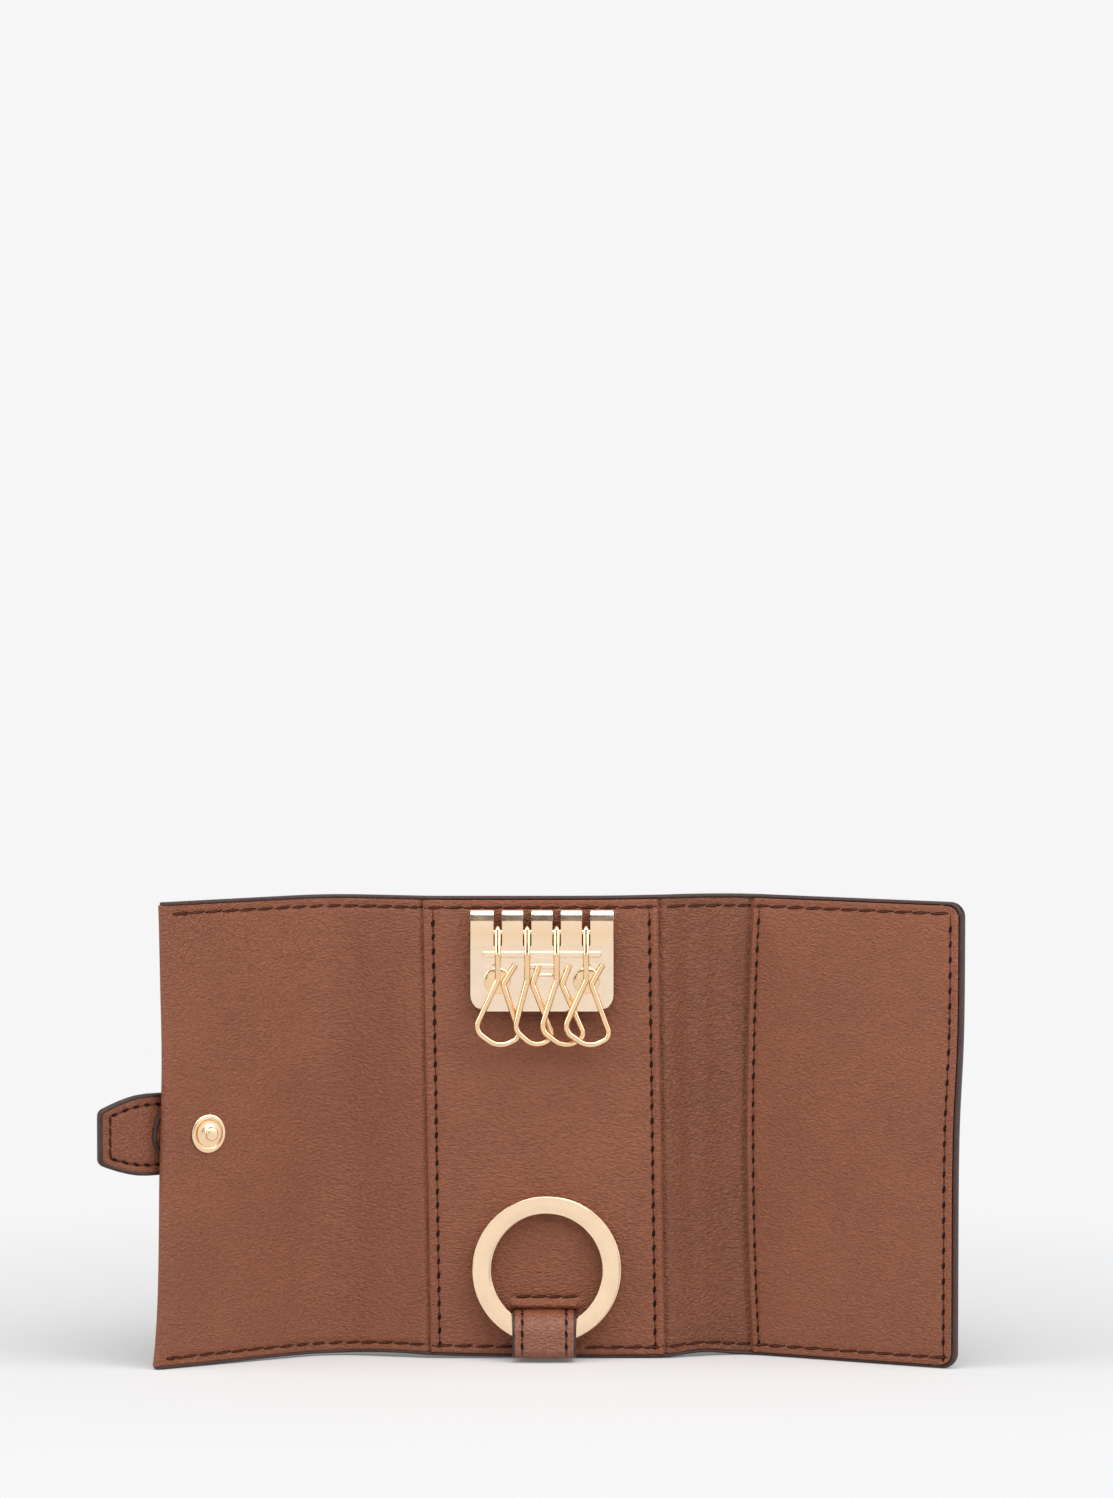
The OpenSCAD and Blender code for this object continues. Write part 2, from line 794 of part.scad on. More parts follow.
module rivet_washers() {
    color(gold) on_plate()
        for (side = [-1, 1])
            difference() {
                across(side * rivet_span / 2, rivet_z, washer_r, shell_in, shell_in + washer_t);
                across(side * rivet_span / 2, rivet_z, rivet_shank_r + run_play, -over,
                       half_t + over);
            }
}

// A closed skin over rings of points, all with the same number of points
module skin(rings) {
    sides = len(rings[0]);
    last = len(rings) - 1;
    walls = [
        for (i = [0 : last - 1], k = [0 : sides - 1])
            let (a = i * sides + k, b = i * sides + (k + 1) % sides)
                each [[a, a + sides, b], [b, a + sides, b + sides]]
    ];
    caps = [
        [for (k = [0 : sides - 1]) k],
        [for (k = [sides - 1 : -1 : 0]) last * sides + k]
    ];
    polyhedron([for (ring = rings) each ring], concat(walls, caps));
}

// Hooks: one bent wire each, on the axle. A bend is a list of [point, direction] round a corner.
function unit(v) = v / norm(v);
function bend(before, at, after, r) =
    let (u = unit(at - before), v = unit(after - at), angle = acos(u * v),
         n = unit(v - u * (u * v)), start = at - u * r * tan(angle / 2))
        [for (k = [0 : bend_steps])
            let (a = angle * k / bend_steps)
                [start + n * r * (1 - cos(a)) + u * r * sin(a), u * cos(a) + n * sin(a)]];
function around(at, direction, across) =
    let (a = unit(across), b = cross(direction, a))
        [for (k = [0 : wire_sides - 1])
            at + wire_d / 2 * (a * cos(360 * k / wire_sides) + b * sin(360 * k / wire_sides))];

// The wire's corners below the shank's start as [across, down, radius]: across and radius are
// shares of the loop's width, down is a share of the hook's reach
function loop_corners(left, right, tip) = [
    [0, 0.41, 0.2], [-left, 0.81, 0.2], [(right - left) / 2 + 0.145, 1.035, 0.32 * (left + right)],
    [right, 0.92, 0.19], [0.14, 0.447, 0.12], [tip, 0.275, 0]
];
loop_normal = [-sin(hook_turn), cos(hook_turn), 0];
shank_way = unit([0, eye_front - shank_y, -shank_start]);

function hook_rings(loop) =
    let (corners = concat(
             [[0, -eye_front, 0], [0, -shank_y, -shank_start]],
             [for (s = loop)
                 [s.x * loop_w * cos(hook_turn), s.x * loop_w * sin(hook_turn) - shank_y,
                  -s.y * hook_reach]]),
         radii = concat([0, wire_d * 1.5], [for (s = loop) s.z * loop_w]),
         last = len(corners) - 1,
         last_way = unit(corners[last] - corners[last - 1]))
        concat(
            [around(corners[0], shank_way, [1, 0, 0])],
            [for (p = bend(corners[0], corners[1], corners[2], radii[1]))
                around(p[0], p[1], [1, 0, 0])],
            [for (i = [2 : last - 1],
                  p = bend(corners[i - 1], corners[i], corners[i + 1], radii[i]))
                around(p[0], p[1], cross(p[1], loop_normal))],
            [around(corners[last], last_way, cross(last_way, loop_normal))]);

module hook(number) {
    color(gold) on_plate()
        translate([(number - 1 - (hook_count - 1) / 2) * hook_pitch, -axle_y, axle_z]) {
            difference() {
                rotate([0, 90, 0]) cylinder(r = eye_r, h = eye_w, center = true);
                rotate([0, 90, 0])
                    cylinder(r = axle_d / 2 + run_play, h = wire_d + over, center = true);
            }
            skin(hook_rings(loop_corners(loop_left_shares[number - 1],
                                         loop_right_shares[number - 1],
                                         loop_tip_shares[number - 1])));
        }
}

module hook_1() { hook(1); }
module hook_2() { hook(2); }
module hook_3() { hook(3); }
module hook_4() { hook(4); }

// Strap: out of the slit, round the ring, back under the facing at the foot
module strap_section() {
    bend_z = strap_foot + strap_bend_r;
    translate([pivot_y, pivot_z]) intersection() {
        difference() {
            circle(loop_r + strap_t);
            circle(loop_r);
        }
        square(loop_r + strap_t);
    }
    translate([-lining_out, strap_top - strap_t]) square([pivot_y + lining_out, strap_t]);
    translate([strap_front - strap_t, bend_z]) square([strap_t, pivot_z - bend_z]);
    translate([strap_front - strap_bend_r, bend_z]) intersection() {
        difference() {
            circle(strap_bend_r);
            circle(strap_bend_r - strap_t);
        }
        translate([0, -strap_bend_r]) square(strap_bend_r);
    }
    translate([-shell_in, strap_foot]) square([strap_front - strap_bend_r + shell_in, strap_t]);
    translate([-shell_in, strap_foot]) square([board_t, tail_down]);
    translate([-shell_in, strap_top - strap_t]) square([board_t, strap_t + tail_up]);
}

module ring_strap() {
    color(leather) standing() bar(strap_w) strap_section();
}

module strap_stitching() {
    seam_x = strap_w / 2 - seam_inset;
    color(thread) standing()
        for (side = [-1, 1]) {
            seam([side * seam_x, strap_foot + strap_bend_r], [side * seam_x, pivot_z],
                 strap_front);
            translate([side * seam_x, -pivot_y, pivot_z]) rotate([-45, 0, 0])
                translate([0, -loop_r - strap_t - thread_d / 2 * cos(30), 0])
                    rotate([0, 90, 0]) stitch();
        }
}

// Split ring: one flat ribbon, wound twice, stepping from one turn to the next at the jog
function ribbon_section(a) = [
    for (c = [[hole_r, edge_cut - coil_t / 2], [hole_r + edge_cut, -coil_t / 2],
              [ring_r - edge_cut, -coil_t / 2], [ring_r, edge_cut - coil_t / 2],
              [ring_r, coil_t / 2 - edge_cut], [ring_r - edge_cut, coil_t / 2],
              [hole_r + edge_cut, coil_t / 2], [hole_r, coil_t / 2 - edge_cut]])
        [c.x * cos(a + jog_at), c.y - coil_level(a), c.x * sin(a + jog_at)]
];

module split_ring() {
    color(gold) standing() translate([0, -pivot_y, pivot_z]) rotate([-ring_lean, 0, 0])
        translate([0, 0, pivot_r])
            skin([for (i = [0 : coil_steps]) ribbon_section(coil_angle(i))]);
}

outer_back();
board_back();
center_facing();
edge_paint_back();
facing_stitching();
outer_left_spine();
padding_left_spine();
lining_left_spine();
edge_paint_left_spine();
left_spine_stitching();
outer_left_cover();
board_left_cover();
lining_left_cover();
edge_paint_left_cover();
left_cover_stitching();
tab_keeper();
tab_inner();
tab_outer();
tab_stitching();
snap_cap();
snap_stud();
outer_right_spine();
padding_right_spine();
lining_right_spine();
edge_paint_right_spine();
right_spine_stitching();
outer_right_cover();
board_right_cover();
pocket_backing();
pocket_panel();
edge_paint_right_cover();
right_cover_stitching();
snap_socket();
socket_eyelet();
key_plate();
hook_axle();
plate_rivets();
rivet_washers();
hook_1();
hook_2();
hook_3();
hook_4();
ring_strap();
strap_stitching();
split_ring();
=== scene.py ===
"""Leather key case, open and standing: leather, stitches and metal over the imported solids."""

import json
from math import asin, atan2, copysign, cos, dist, exp, hypot, pi, radians, sin, sqrt, tan, tau

import bmesh
import bpy
from mathutils import Matrix, Vector


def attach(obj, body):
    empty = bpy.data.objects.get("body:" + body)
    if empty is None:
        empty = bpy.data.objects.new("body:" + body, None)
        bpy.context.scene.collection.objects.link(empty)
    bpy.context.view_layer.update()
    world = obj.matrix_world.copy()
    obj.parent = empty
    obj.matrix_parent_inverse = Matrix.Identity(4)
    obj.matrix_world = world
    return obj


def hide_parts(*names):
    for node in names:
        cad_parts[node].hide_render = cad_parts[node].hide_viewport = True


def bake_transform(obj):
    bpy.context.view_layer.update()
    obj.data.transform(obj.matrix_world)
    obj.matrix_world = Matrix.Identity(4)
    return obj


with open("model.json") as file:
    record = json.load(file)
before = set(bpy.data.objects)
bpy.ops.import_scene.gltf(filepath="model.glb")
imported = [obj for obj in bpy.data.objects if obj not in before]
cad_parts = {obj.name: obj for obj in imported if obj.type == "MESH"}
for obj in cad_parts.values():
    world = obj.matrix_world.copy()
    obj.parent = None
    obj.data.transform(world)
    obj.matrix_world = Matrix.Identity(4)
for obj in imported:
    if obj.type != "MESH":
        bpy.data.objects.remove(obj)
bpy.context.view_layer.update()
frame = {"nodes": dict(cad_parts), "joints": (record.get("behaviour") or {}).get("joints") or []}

bl_info = {
    "name": "Leather Key Case",
    "version": (1, 0, 0),
    "blender": (4, 5, 0),
    "location": "View3D > Sidebar > Key Case",
    "description": "Dresses a folding leather key case with leather, stitches and metal parts",
    "category": "Object",
}

MM = 0.001
CASE_HEIGHT = 101.6
LEAF = 2.4


# --- settings


class CaseSizes(bpy.types.PropertyGroup):
    """Sizes of the leather and metal parts, in millimetres."""

    left_bend: bpy.props.FloatProperty(
        name="Left Bend", description="Radius of the soft bend behind the left cover", default=18, min=4, max=24)
    right_bend: bpy.props.FloatProperty(
        name="Right Bend", description="Radius of the soft bend behind the right cover", default=13, min=4, max=20)
    edge_bead: bpy.props.FloatProperty(
        name="Edge Bead", description="Height of the painted bead along the cut edges", default=0.85, min=0.3,
        max=1.5)
    stitch_pitch: bpy.props.FloatProperty(
        name="Stitch Pitch", description="Distance from stitch to stitch", default=4.2, min=2, max=5)
    thread: bpy.props.FloatProperty(
        name="Thread", description="Thickness of the sewing thread", default=0.52, min=0.3, max=0.9)
    wire: bpy.props.FloatProperty(
        name="Hook Wire", description="Thickness of the hooks' wire", default=1.34, min=0.8, max=1.4)


class CaseColours(bpy.types.PropertyGroup):
    """Colours of the finishes."""

    leather: bpy.props.FloatVectorProperty(
        name="Leather", description="Colour of the leather", subtype="COLOR", size=3, default=(0.27, 0.0885, 0.0415))
    leather_shade: bpy.props.FloatVectorProperty(
        name="Leather Shade", description="Darker clouds in the leather", subtype="COLOR", size=3,
        default=(0.243, 0.0785, 0.0365))
    edge_paint: bpy.props.FloatVectorProperty(
        name="Edge Paint", description="Colour of the painted edges", subtype="COLOR", size=3,
        default=(0.042, 0.022, 0.02))
    thread: bpy.props.FloatVectorProperty(
        name="Thread", description="Colour of the thread", subtype="COLOR", size=3, default=(0.1, 0.028, 0.015))
    gold: bpy.props.FloatVectorProperty(
        name="Pale Gold", description="Colour of the metal parts", subtype="COLOR", size=3,
        default=(0.97, 0.69, 0.42))


def sizes():
    return bpy.context.scene.key_case_sizes


def colours():
    return bpy.context.scene.key_case_colours


# --- the line of the leaves


def fold_place(joint):
    found = next(j for j in frame["joints"] if j["name"] == joint)
    return Vector(found["pos_m"][:2]) / MM


def towards(degrees, length):
    return Vector((cos(radians(degrees)), sin(radians(degrees)))) * length


COVER_WIDTH = {"left": 43.2, "right": 52.7}
FOLDS = [fold_place(n) for n in ("left_cover_fold", "left_spine_fold", "right_spine_fold", "right_cover_fold")]
CORNERS = [FOLDS[0] + towards(213, COVER_WIDTH["left"]), *FOLDS, FOLDS[3] + towards(-26.9, COVER_WIDTH["right"])]
STATIONS = [0.0]
for a, b in zip(CORNERS, CORNERS[1:]):
    STATIONS.append(STATIONS[-1] + (b - a).length)
LEFT_COVER_FOLD, LEFT_SPINE_FOLD, RIGHT_SPINE_FOLD, RIGHT_COVER_FOLD, RIGHT_END = STATIONS[1:]
LEFT_MIDDLE = (LEFT_COVER_FOLD + LEFT_SPINE_FOLD) / 2
RIGHT_MIDDLE = (RIGHT_SPINE_FOLD + RIGHT_COVER_FOLD) / 2
BACK_MIDDLE = (LEFT_SPINE_FOLD + RIGHT_SPINE_FOLD) / 2
BACK_X = (FOLDS[1].x + FOLDS[2].x) / 2
BACK_Y = FOLDS[1].y
SNAP_STATION, SNAP_Z = 11.9, CASE_HEIGHT / 2
LEFT_COVER_BEND = ("left_cover", "left_spine", LEFT_COVER_FOLD, 4.2)
LEFT_SPINE_BEND = ("left_spine", "back", LEFT_SPINE_FOLD, 1.4)
RIGHT_SPINE_BEND = ("back", "right_spine", RIGHT_SPINE_FOLD, 1.4)
RIGHT_COVER_BEND = ("right_spine", "right_cover", RIGHT_COVER_FOLD, 3.4)


def clamp(value):
    return min(1, max(0, value))


def bell(distance, width, power=2):
    return exp(-((distance / width) ** power))


def fade(distance, width):
    """From 1 at an edge towards 0 away from it."""
    return exp(-max(distance, 0) / width)


def corner_cut(gap, radius):
    """How far a round corner draws a side in, at a gap from the end."""
    return radius - sqrt(max(0, radius ** 2 - (radius - gap) ** 2)) if gap < radius else 0


def turned(v, angle):
    return Vector((v.x * cos(angle) - v.y * sin(angle), v.x * sin(angle) + v.y * cos(angle)))


def leaf_line(along):
    """The middle of the leather at a distance from the left free edge, and its outward direction."""
    softness = [0, sizes().left_bend, 9, 9, sizes().right_bend, 0]
    leaf = max(i for i in range(5) if i == 0 or along >= STATIONS[i])
    for corner in (leaf, leaf + 1):
        if corner in (0, 5):
            continue
        before = (CORNERS[corner] - CORNERS[corner - 1]).normalized()
        after = (CORNERS[corner + 1] - CORNERS[corner]).normalized()
        angle = atan2(before.cross(after), before.dot(after))
        reach = softness[corner] * tan(abs(angle) / 2)
        part = (along - STATIONS[corner] + reach) / (2 * reach)
        if 0 <= part <= 1:
            start = CORNERS[corner] - before * reach
            side = Vector((-before.y, before.x))
            centre = start + side * copysign(softness[corner], angle)
            return centre + turned(start - centre, angle * part), turned(side, angle * part)
    before = (CORNERS[leaf + 1] - CORNERS[leaf]).normalized()
    return CORNERS[leaf] + before * (along - STATIONS[leaf]), Vector((-before.y, before.x))


def sway(along, height):
    """The cut edges aren't quite straight: the foot lifts by the spines and the head stands up at the right one."""
    left, right = along - LEFT_COVER_FOLD, along - RIGHT_COVER_FOLD
    foot = 0.45 * bell(left - 15, 10) + 0.4 * bell(left - 8, 36, 4) + 0.8 * bell(right + 10, 6)
    head = 0.3 * bell(right + 15, 12)
    return foot * max(0, 1 - height / 25) ** 2 + head * max(0, 1 - (CASE_HEIGHT - height) / 25) ** 2


def on_leaf(along, height, out):
    """A point of the case, in metres: along the leaves, up, and outwards from the middle of the leather."""
    place, side = leaf_line(along)
    place = place + side * out
    return Vector((place.x, place.y, height + sway(along, height))) * MM


def fold_point(along):
    """A point of the leaves' line on the floor, in metres."""
    return leaf_line(along)[0].to_3d() * MM


def leaf_frame(along, height, out, outwards=False):
    """A matrix that puts a part drawn upright along +Z on the leather, facing in or out."""
    _, side = leaf_line(along)
    up, z = Vector((0, 0, 1)), side.to_3d() * (1 if outwards else -1)
    turn = Matrix((up.cross(z), up, z)).transposed().to_4x4()
    return Matrix.Translation(on_leaf(along, height, out)) @ turn


def steps(start, end, count):
    return [start + (end - start) * i / count for i in range(count + 1)]


def graded(start, end, pitch, fine=(), width=1.6, small=0.32):
    """Even steps with closer ones round the seams."""
    marks = set(round(v, 4) for v in steps(start, end, max(1, round(abs(end - start) / pitch))))
    for seam in fine:
        if min(start, end) - width < seam < max(start, end) + width:
            marks |= {round(v, 4) for v in steps(seam - width, seam + width, round(2 * width / small))
                      if min(start, end) < v < max(start, end)}
    marks = sorted(marks)
    kept = [marks[0]]
    for v in marks[1:-1]:
        if v - kept[-1] > small * 0.6 and marks[-1] - v > small * 0.6:
            kept.append(v)
    return kept + [marks[-1]]


# --- materials


def feed(node, inputs):
    """Gives a node's inputs their values, or links them to the outputs of other nodes."""
    for key, value in inputs.items():
        if isinstance(value, bpy.types.NodeSocket):
            node.id_data.links.new(value, node.inputs[key])
        else:
            node.inputs[key].default_value = value
    return node


def add_node(tree, kind, inputs=None, **settings):
    node = tree.nodes.new(kind)
    for key, value in settings.items():
        setattr(node, key, value)
    return feed(node, inputs or {})


def new_material(name, kind="ShaderNodeBsdfPrincipled"):
    """A material with one shader node."""
    mat = bpy.data.materials.new(name)
    mat.use_nodes = True
    tree = mat.node_tree
    tree.nodes.clear()
    shader = add_node(tree, kind)
    add_node(tree, "ShaderNodeOutputMaterial", {0: shader.outputs[0]})
    return mat, tree, shader


def rgba(colour):
    """A colour, or a grey given as one number, with full alpha."""
    return (*([colour] * 3 if isinstance(colour, (int, float)) else colour), 1)


def tinted(colour, tone, lift=0.0):
    return [c * tone + lift for c in colour]


def coordinates(tree, kind="Object"):
    return add_node(tree, "ShaderNodeTexCoord").outputs[kind]


def noise(tree, scale, detail=2, roughness=0.5, distortion=0, stretch=None, lean=0):
    """A noise pattern in the object's coordinates, which may be stretched and leant."""
    place = coordinates(tree)
    if stretch:
        place = add_node(tree, "ShaderNodeMapping", {
            "Vector": place, "Rotation": (0, radians(lean), 0), "Scale": stretch}).outputs[0]
    return add_node(tree, "ShaderNodeTexNoise", {
        "Vector": place, "Scale": scale, "Detail": detail, "Roughness": roughness, "Distortion": distortion,
    }).outputs["Fac"]


def ramp(tree, source, stops):
    """A colour ramp through stops of [place, colour or grey], the lowest and the highest first."""
    node = add_node(tree, "ShaderNodeValToRGB", {0: source})
    elements = node.color_ramp.elements
    for stop, (place, colour) in zip([*elements, *[None] * (len(stops) - 2)], stops):
        stop = stop or elements.new(place)
        stop.position, stop.color = place, rgba(colour)
    return node.outputs[0]


def mix_colours(tree, blend, factor, first, second):
    return add_node(tree, "ShaderNodeMix", {0: factor, 6: first, 7: second},
                    data_type="RGBA", blend_type=blend).outputs[2]


def maths(tree, operation, *values):
    return add_node(tree, "ShaderNodeMath", dict(enumerate(values)), operation=operation).outputs[0]


def bump(shader, *layers):
    """Bump layers of [source, strength, distance], one on the other."""
    below = {}
    for source, strength, distance in layers:
        node = add_node(shader.id_data, "ShaderNodeBump", {
            "Height": source, "Strength": strength, "Distance": distance, **below})
        below = {"Normal": node.outputs[0]}
    feed(shader, below)


def leather_finish(name, tone=1.0, rough=0.5, grain=1.0, lean=42, gleam=0.36):
    mat, tree, shader = new_material(name)
    clouds, specks = noise(tree, 55, 4, 0.6), noise(tree, 1900, 2, 0.6)
    creases = noise(tree, 1, distortion=0.4, stretch=(1050, 1850, 2400), lean=lean)
    dark, light = tinted(colours().leather_shade, tone), tinted(colours().leather, tone)
    base = ramp(tree, clouds, [(0.34, dark), (0.66, light)])
    pores = ramp(tree, creases, [(0.36, 0.74), (0.62, 1.13)])
    feed(shader, {"Base Color": mix_colours(tree, "MULTIPLY", 0.6, base, pores), "Specular IOR Level": gleam,
                  "Roughness": ramp(tree, specks, [(0.3, rough - 0.1), (0.75, rough + 0.08)])})
    bump(shader, (clouds, 0.12, 0.0009), (creases, 1.0, 0.0006 * grain), (specks, 0.5, 0.00014))
    return mat


def paint_finish(name):
    mat, tree, shader = new_material(name)
    waves, paint = noise(tree, 900), colours().edge_paint
    feed(shader, {"Base Color": ramp(tree, waves, [(0.3, paint), (0.75, tinted(paint, 1.6, 0.003))]),
                  "Roughness": 0.46, "Specular IOR Level": 0.3})
    bump(shader, (waves, 0.3, 0.0002))
    return mat


def thread_finish(name, tone=1.0):
    mat, tree, shader = new_material(name)
    ply, thread = noise(tree, 2600, 1), tinted(colours().thread, tone)
    feed(shader, {"Base Color": ramp(tree, ply, [(0.35, tinted(thread, 0.6)), (0.65, tinted(thread, 1.3))]),
                  "Roughness": 0.6, "Specular IOR Level": 0.12})
    bump(shader, (ply, 0.6, 0.0002))
    return mat


def gold_finish(name, rough=0.12, pale=0.0, painted_reflection=None):
    """Polished gold. The plate's is brushed, and its upper part carries a painted warm reflection, tinted in by
    height.
    """
    mat, tree, shader = new_material(name)
    gold = [c + pale * (1 - c) * 0.5 for c in colours().gold]
    wear = noise(tree, 240, 3, 0.6)
    tone = ramp(tree, wear, [(0.3, tinted(gold, 0.94)), (0.7, gold)])
    scratches = (wear, 0.05, 0.0003)
    if painted_reflection:
        # Painted reflection: a warm tint mixed into the plate's gold by height, strongest about 92.5 mm up.
        height = add_node(tree, "ShaderNodeSeparateXYZ", {0: coordinates(tree)}).outputs["Z"]
        share = ramp(tree, height, [(0.0895, 0), (0.0968, 0), (0.0925, 0.75), (0.0955, 0.35)])
        tone = mix_colours(tree, "MIX", share, tone, rgba(painted_reflection))
        scratches = (noise(tree, 1, stretch=(160, 160, 4200)), 0.05, 0.00005)
    feed(shader, {"Base Color": tone, "Metallic": 1,
                  "Roughness": ramp(tree, wear, [(0.3, rough), (0.75, rough + 0.07)])})
    bump(shader, scratches)
    return mat


FINISHES = {
    "case_leather": ("leather", leather_finish, ()),
    # The lining leather's lower tone (0.87) is painted shade of the recessed right spine and the pocket's back.
    "lining_leather": ("lining", leather_finish, (0.87, 0.4, 1.4, -38)),
    "facing_leather": ("leather", leather_finish, (1.01, 0.47)),
    "tab_leather": ("leather", leather_finish, (0.9, 0.5, 1.1)),
    "strap_leather": ("leather", leather_finish, (0.98, 0.32, 0.8, 42, 0.6)),
    "painted_edge": ("edge_paint", paint_finish, ()),
    "thread": ("thread", thread_finish, ()),
    # Near-black thread: painted shade at the needle holes and in the grooves under slanted stitches.
    "needle_hole": ("thread", thread_finish, (0.16,)),
    "pale_gold": ("gold", gold_finish, ()),
    "snap_gold": ("gold", gold_finish, (0.17, 0.2)),
    # The plate's gold carries a painted warm reflection in its upper part.
    "plate_gold": ("gold", gold_finish, (0.14, 0.58, (0.91, 0.6, 0.33))),
    "ring_gold": ("gold", gold_finish, (0.13, 0.3)),
}
MADE = {}


def finish(name):
    """The named finish, made once."""
    if name not in MADE:
        _, maker, values = FINISHES[name]
        MADE[name] = maker(name, *values)
    return MADE[name]


# --- mesh helpers


def grid(us, vs, place):
    """A grid of us by vs steps, each point put where place(u, v) says."""
    bm = bmesh.new()
    bmesh.ops.create_grid(bm, x_segments=len(us) - 1, y_segments=len(vs) - 1, size=1)
    side = bm.verts.layers.int.new("side")
    for v in bm.verts:
        i = round((v.co.x + 1) / 2 * (len(us) - 1))
        j = round((v.co.y + 1) / 2 * (len(vs) - 1))
        v[side] = -1 if i == 0 else i == len(us) - 1
        v.co = place(us[i], vs[j])
    return bm


def close_shell(bm):
    """Welds the seams of a wrapped grid and closes its open ends."""
    bmesh.ops.remove_doubles(bm, verts=bm.verts[:], dist=1e-7)
    rim = [e for e in bm.edges if e.is_boundary]
    if rim:
        bmesh.ops.holes_fill(bm, edges=rim, sides=0)
    bmesh.ops.recalc_face_normals(bm, faces=bm.faces[:])


def thicken(bm, thickness, rim=0.0, joins=()):
    """Gives a sheet its wall on the far side of its normals, and rounds its rims, but not where sheets join."""
    bm.normal_update()
    side = bm.verts.layers.int.get("side")
    border = [e for e in bm.edges if e.is_boundary and not any(all(v[side] == j for v in e.verts) for j in joins)]
    bmesh.ops.solidify(bm, geom=bm.faces[:], thickness=thickness * MM)
    if rim:
        keep = [e for e in border if e.is_valid and len(e.link_faces) == 2 and e.calc_face_angle(0) > 0.6]
        bmesh.ops.bevel(bm, geom=keep, offset=rim * MM, segments=2, profile=0.5, affect="EDGES",
                        material=-1, clamp_overlap=True)
    bmesh.ops.recalc_face_normals(bm, faces=bm.faces[:])


def new_mesh(bm, name):
    mesh = bpy.data.meshes.new(name)
    bm.to_mesh(mesh)
    bm.free()
    return mesh


def new_object(name, data):
    obj = bpy.data.objects.new(name, data)
    bpy.context.scene.collection.objects.link(obj)
    return obj


def add_piece(bm, name, look, moves, nodes="", sharp=35):
    """Makes the bmesh a piece that rides on a body, or for a bend a piece fixed where it is built, and replaces the
    nodes named, if any.
    """
    mesh = new_mesh(bm, name)
    mesh.shade_smooth()
    mesh.set_sharp_from_angle(angle=radians(sharp))
    obj = new_object(name, mesh)
    mesh.materials.append(finish(look))
    if nodes:
        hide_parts(*nodes.split())
    if isinstance(moves, str):
        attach(obj, moves)
    else:
        first, second, along, reach = moves
        fold_point(along - reach)
        fold_point(along + reach)
        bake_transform(obj)


def lathe(profile, segments=48):
    """Turns a profile of [radius, height] points about +Z into a closed shape."""
    bm = bmesh.new()
    verts = [bm.verts.new((r * MM, 0, h * MM)) for r, h in profile]
    edges = [bm.edges.new(pair) for pair in zip(verts, verts[1:])]
    bmesh.ops.spin(bm, geom=verts + edges, cent=(0, 0, 0), axis=(0, 0, 1), angle=tau, steps=segments,
                   use_merge=True, use_duplicate=False)
    close_shell(bm)
    return bm


def arc(centre_r, centre_h, radius, start, end, count=6):
    """Points of a rounded corner in a lathe profile, angles in degrees."""
    return [(centre_r + radius * cos(radians(a)), centre_h + radius * sin(radians(a)))
            for a in steps(start, end, count)]


def join(target, source):
    """Adds one bmesh to another and frees it."""
    mesh = new_mesh(source, "part")
    target.from_mesh(mesh)
    bpy.data.meshes.remove(mesh)


# --- leather sheets

ROWS = (2.45, CASE_HEIGHT - 2.5)
FACING = (LEFT_SPINE_FOLD - 0.4, RIGHT_SPINE_FOLD - 0.7)
FACING_ROWS = (FACING[0] + 2.05, FACING[1] - 2.05)
STRAP_HALF, STRAP_ROW = 7.2, 13.6
SHELL_IN, LINING_IN, LEFT_LINING_IN, POCKET_IN = 0.25, 0.75, 0.7, 0.72
SHELL_T, LINING_T, FACING_T, POCKET_T = 1.0, 0.75, 0.85, 0.9
POCKET_ROW, POCKET_SPAN, CORNER, HEM = 1.9, 51.6, 3.3, 6.1


def facing_lean(height):
    """The facing is sewn on a little askew: its upper end lies to the left."""
    return 0.75 * (1 - 2 * height / CASE_HEIGHT)


def groove(distance, depth=0.26, width=0.75):
    return depth * bell(distance, width)


def pucker(along):
    """Leather pulls down at every stitch hole."""
    return 0.8 + 0.2 * cos(tau * along / sizes().stitch_pitch)


def row_grooves(u, v, depth=0.26):
    """The grooves of the seams along the head and the foot."""
    return sum(groove(v - row, depth) for row in ROWS) * pucker(u)


def edge_dip(height, low=LINING_IN):
    """The face falls away a little towards its cut edge."""
    return 0.22 * fade(min(height - low, CASE_HEIGHT - low - height), 0.5)


def look_at(bm, point, way):
    """Turns a sheet's faces so that near a point they look the given way."""
    bm.normal_update()
    face = min(bm.faces, key=lambda f: (f.calc_center_median() - point).length)
    if face.normal.dot(way) < 0:
        bmesh.ops.reverse_faces(bm, faces=bm.faces[:])


def look_inwards(bm, along, sign=-1):
    """Turns a sheet's faces so that near a place along the leaves they look into the case, or out of it for 1."""
    look_at(bm, on_leaf(along, CASE_HEIGHT / 2, sign * LEAF), leaf_line(along)[1].to_3d() * sign)


def levels(inset, rows=ROWS, pitch=2.4):
    return graded(inset, CASE_HEIGHT - inset, pitch, rows)


def on_face(surface):
    """A place on the leather, where surface(along, height) gives how far out its face lies."""
    return lambda u, v: on_leaf(u, v, surface(u, v))


def sheet(name, look, span, heights, place, thickness, rim, joins, moves, nodes, near=None):
    """A leather sheet with its face at place(u, v), looking into the case, or out of it for a thickness below 0."""
    bm = grid(span, heights, place)
    look_inwards(bm, near or (span[0] + span[-1]) / 2, copysign(1, -thickness))
    thicken(bm, abs(thickness), rim, joins)
    add_piece(bm, name, look, moves, nodes)


def left_lining(u, v):
    rows = row_grooves(u, v) * clamp((u - 1.5) / 1.5)
    return -LEAF / 2 + rows + edge_dip(v, 0.6) + groove(u - FACING[0] - facing_lean(v), 0.5, 0.55)


def free_edge(v):
    """The left cover's free edge bows in at mid height."""
    bow, low = 0.35 * bell(v - 68, 14), 0.35 / (1 + exp((v - 48) / 4))
    return 0.8 - low - 1.9 * fade(v, 12) - 0.4 * fade(CASE_HEIGHT - v, 10) + bow


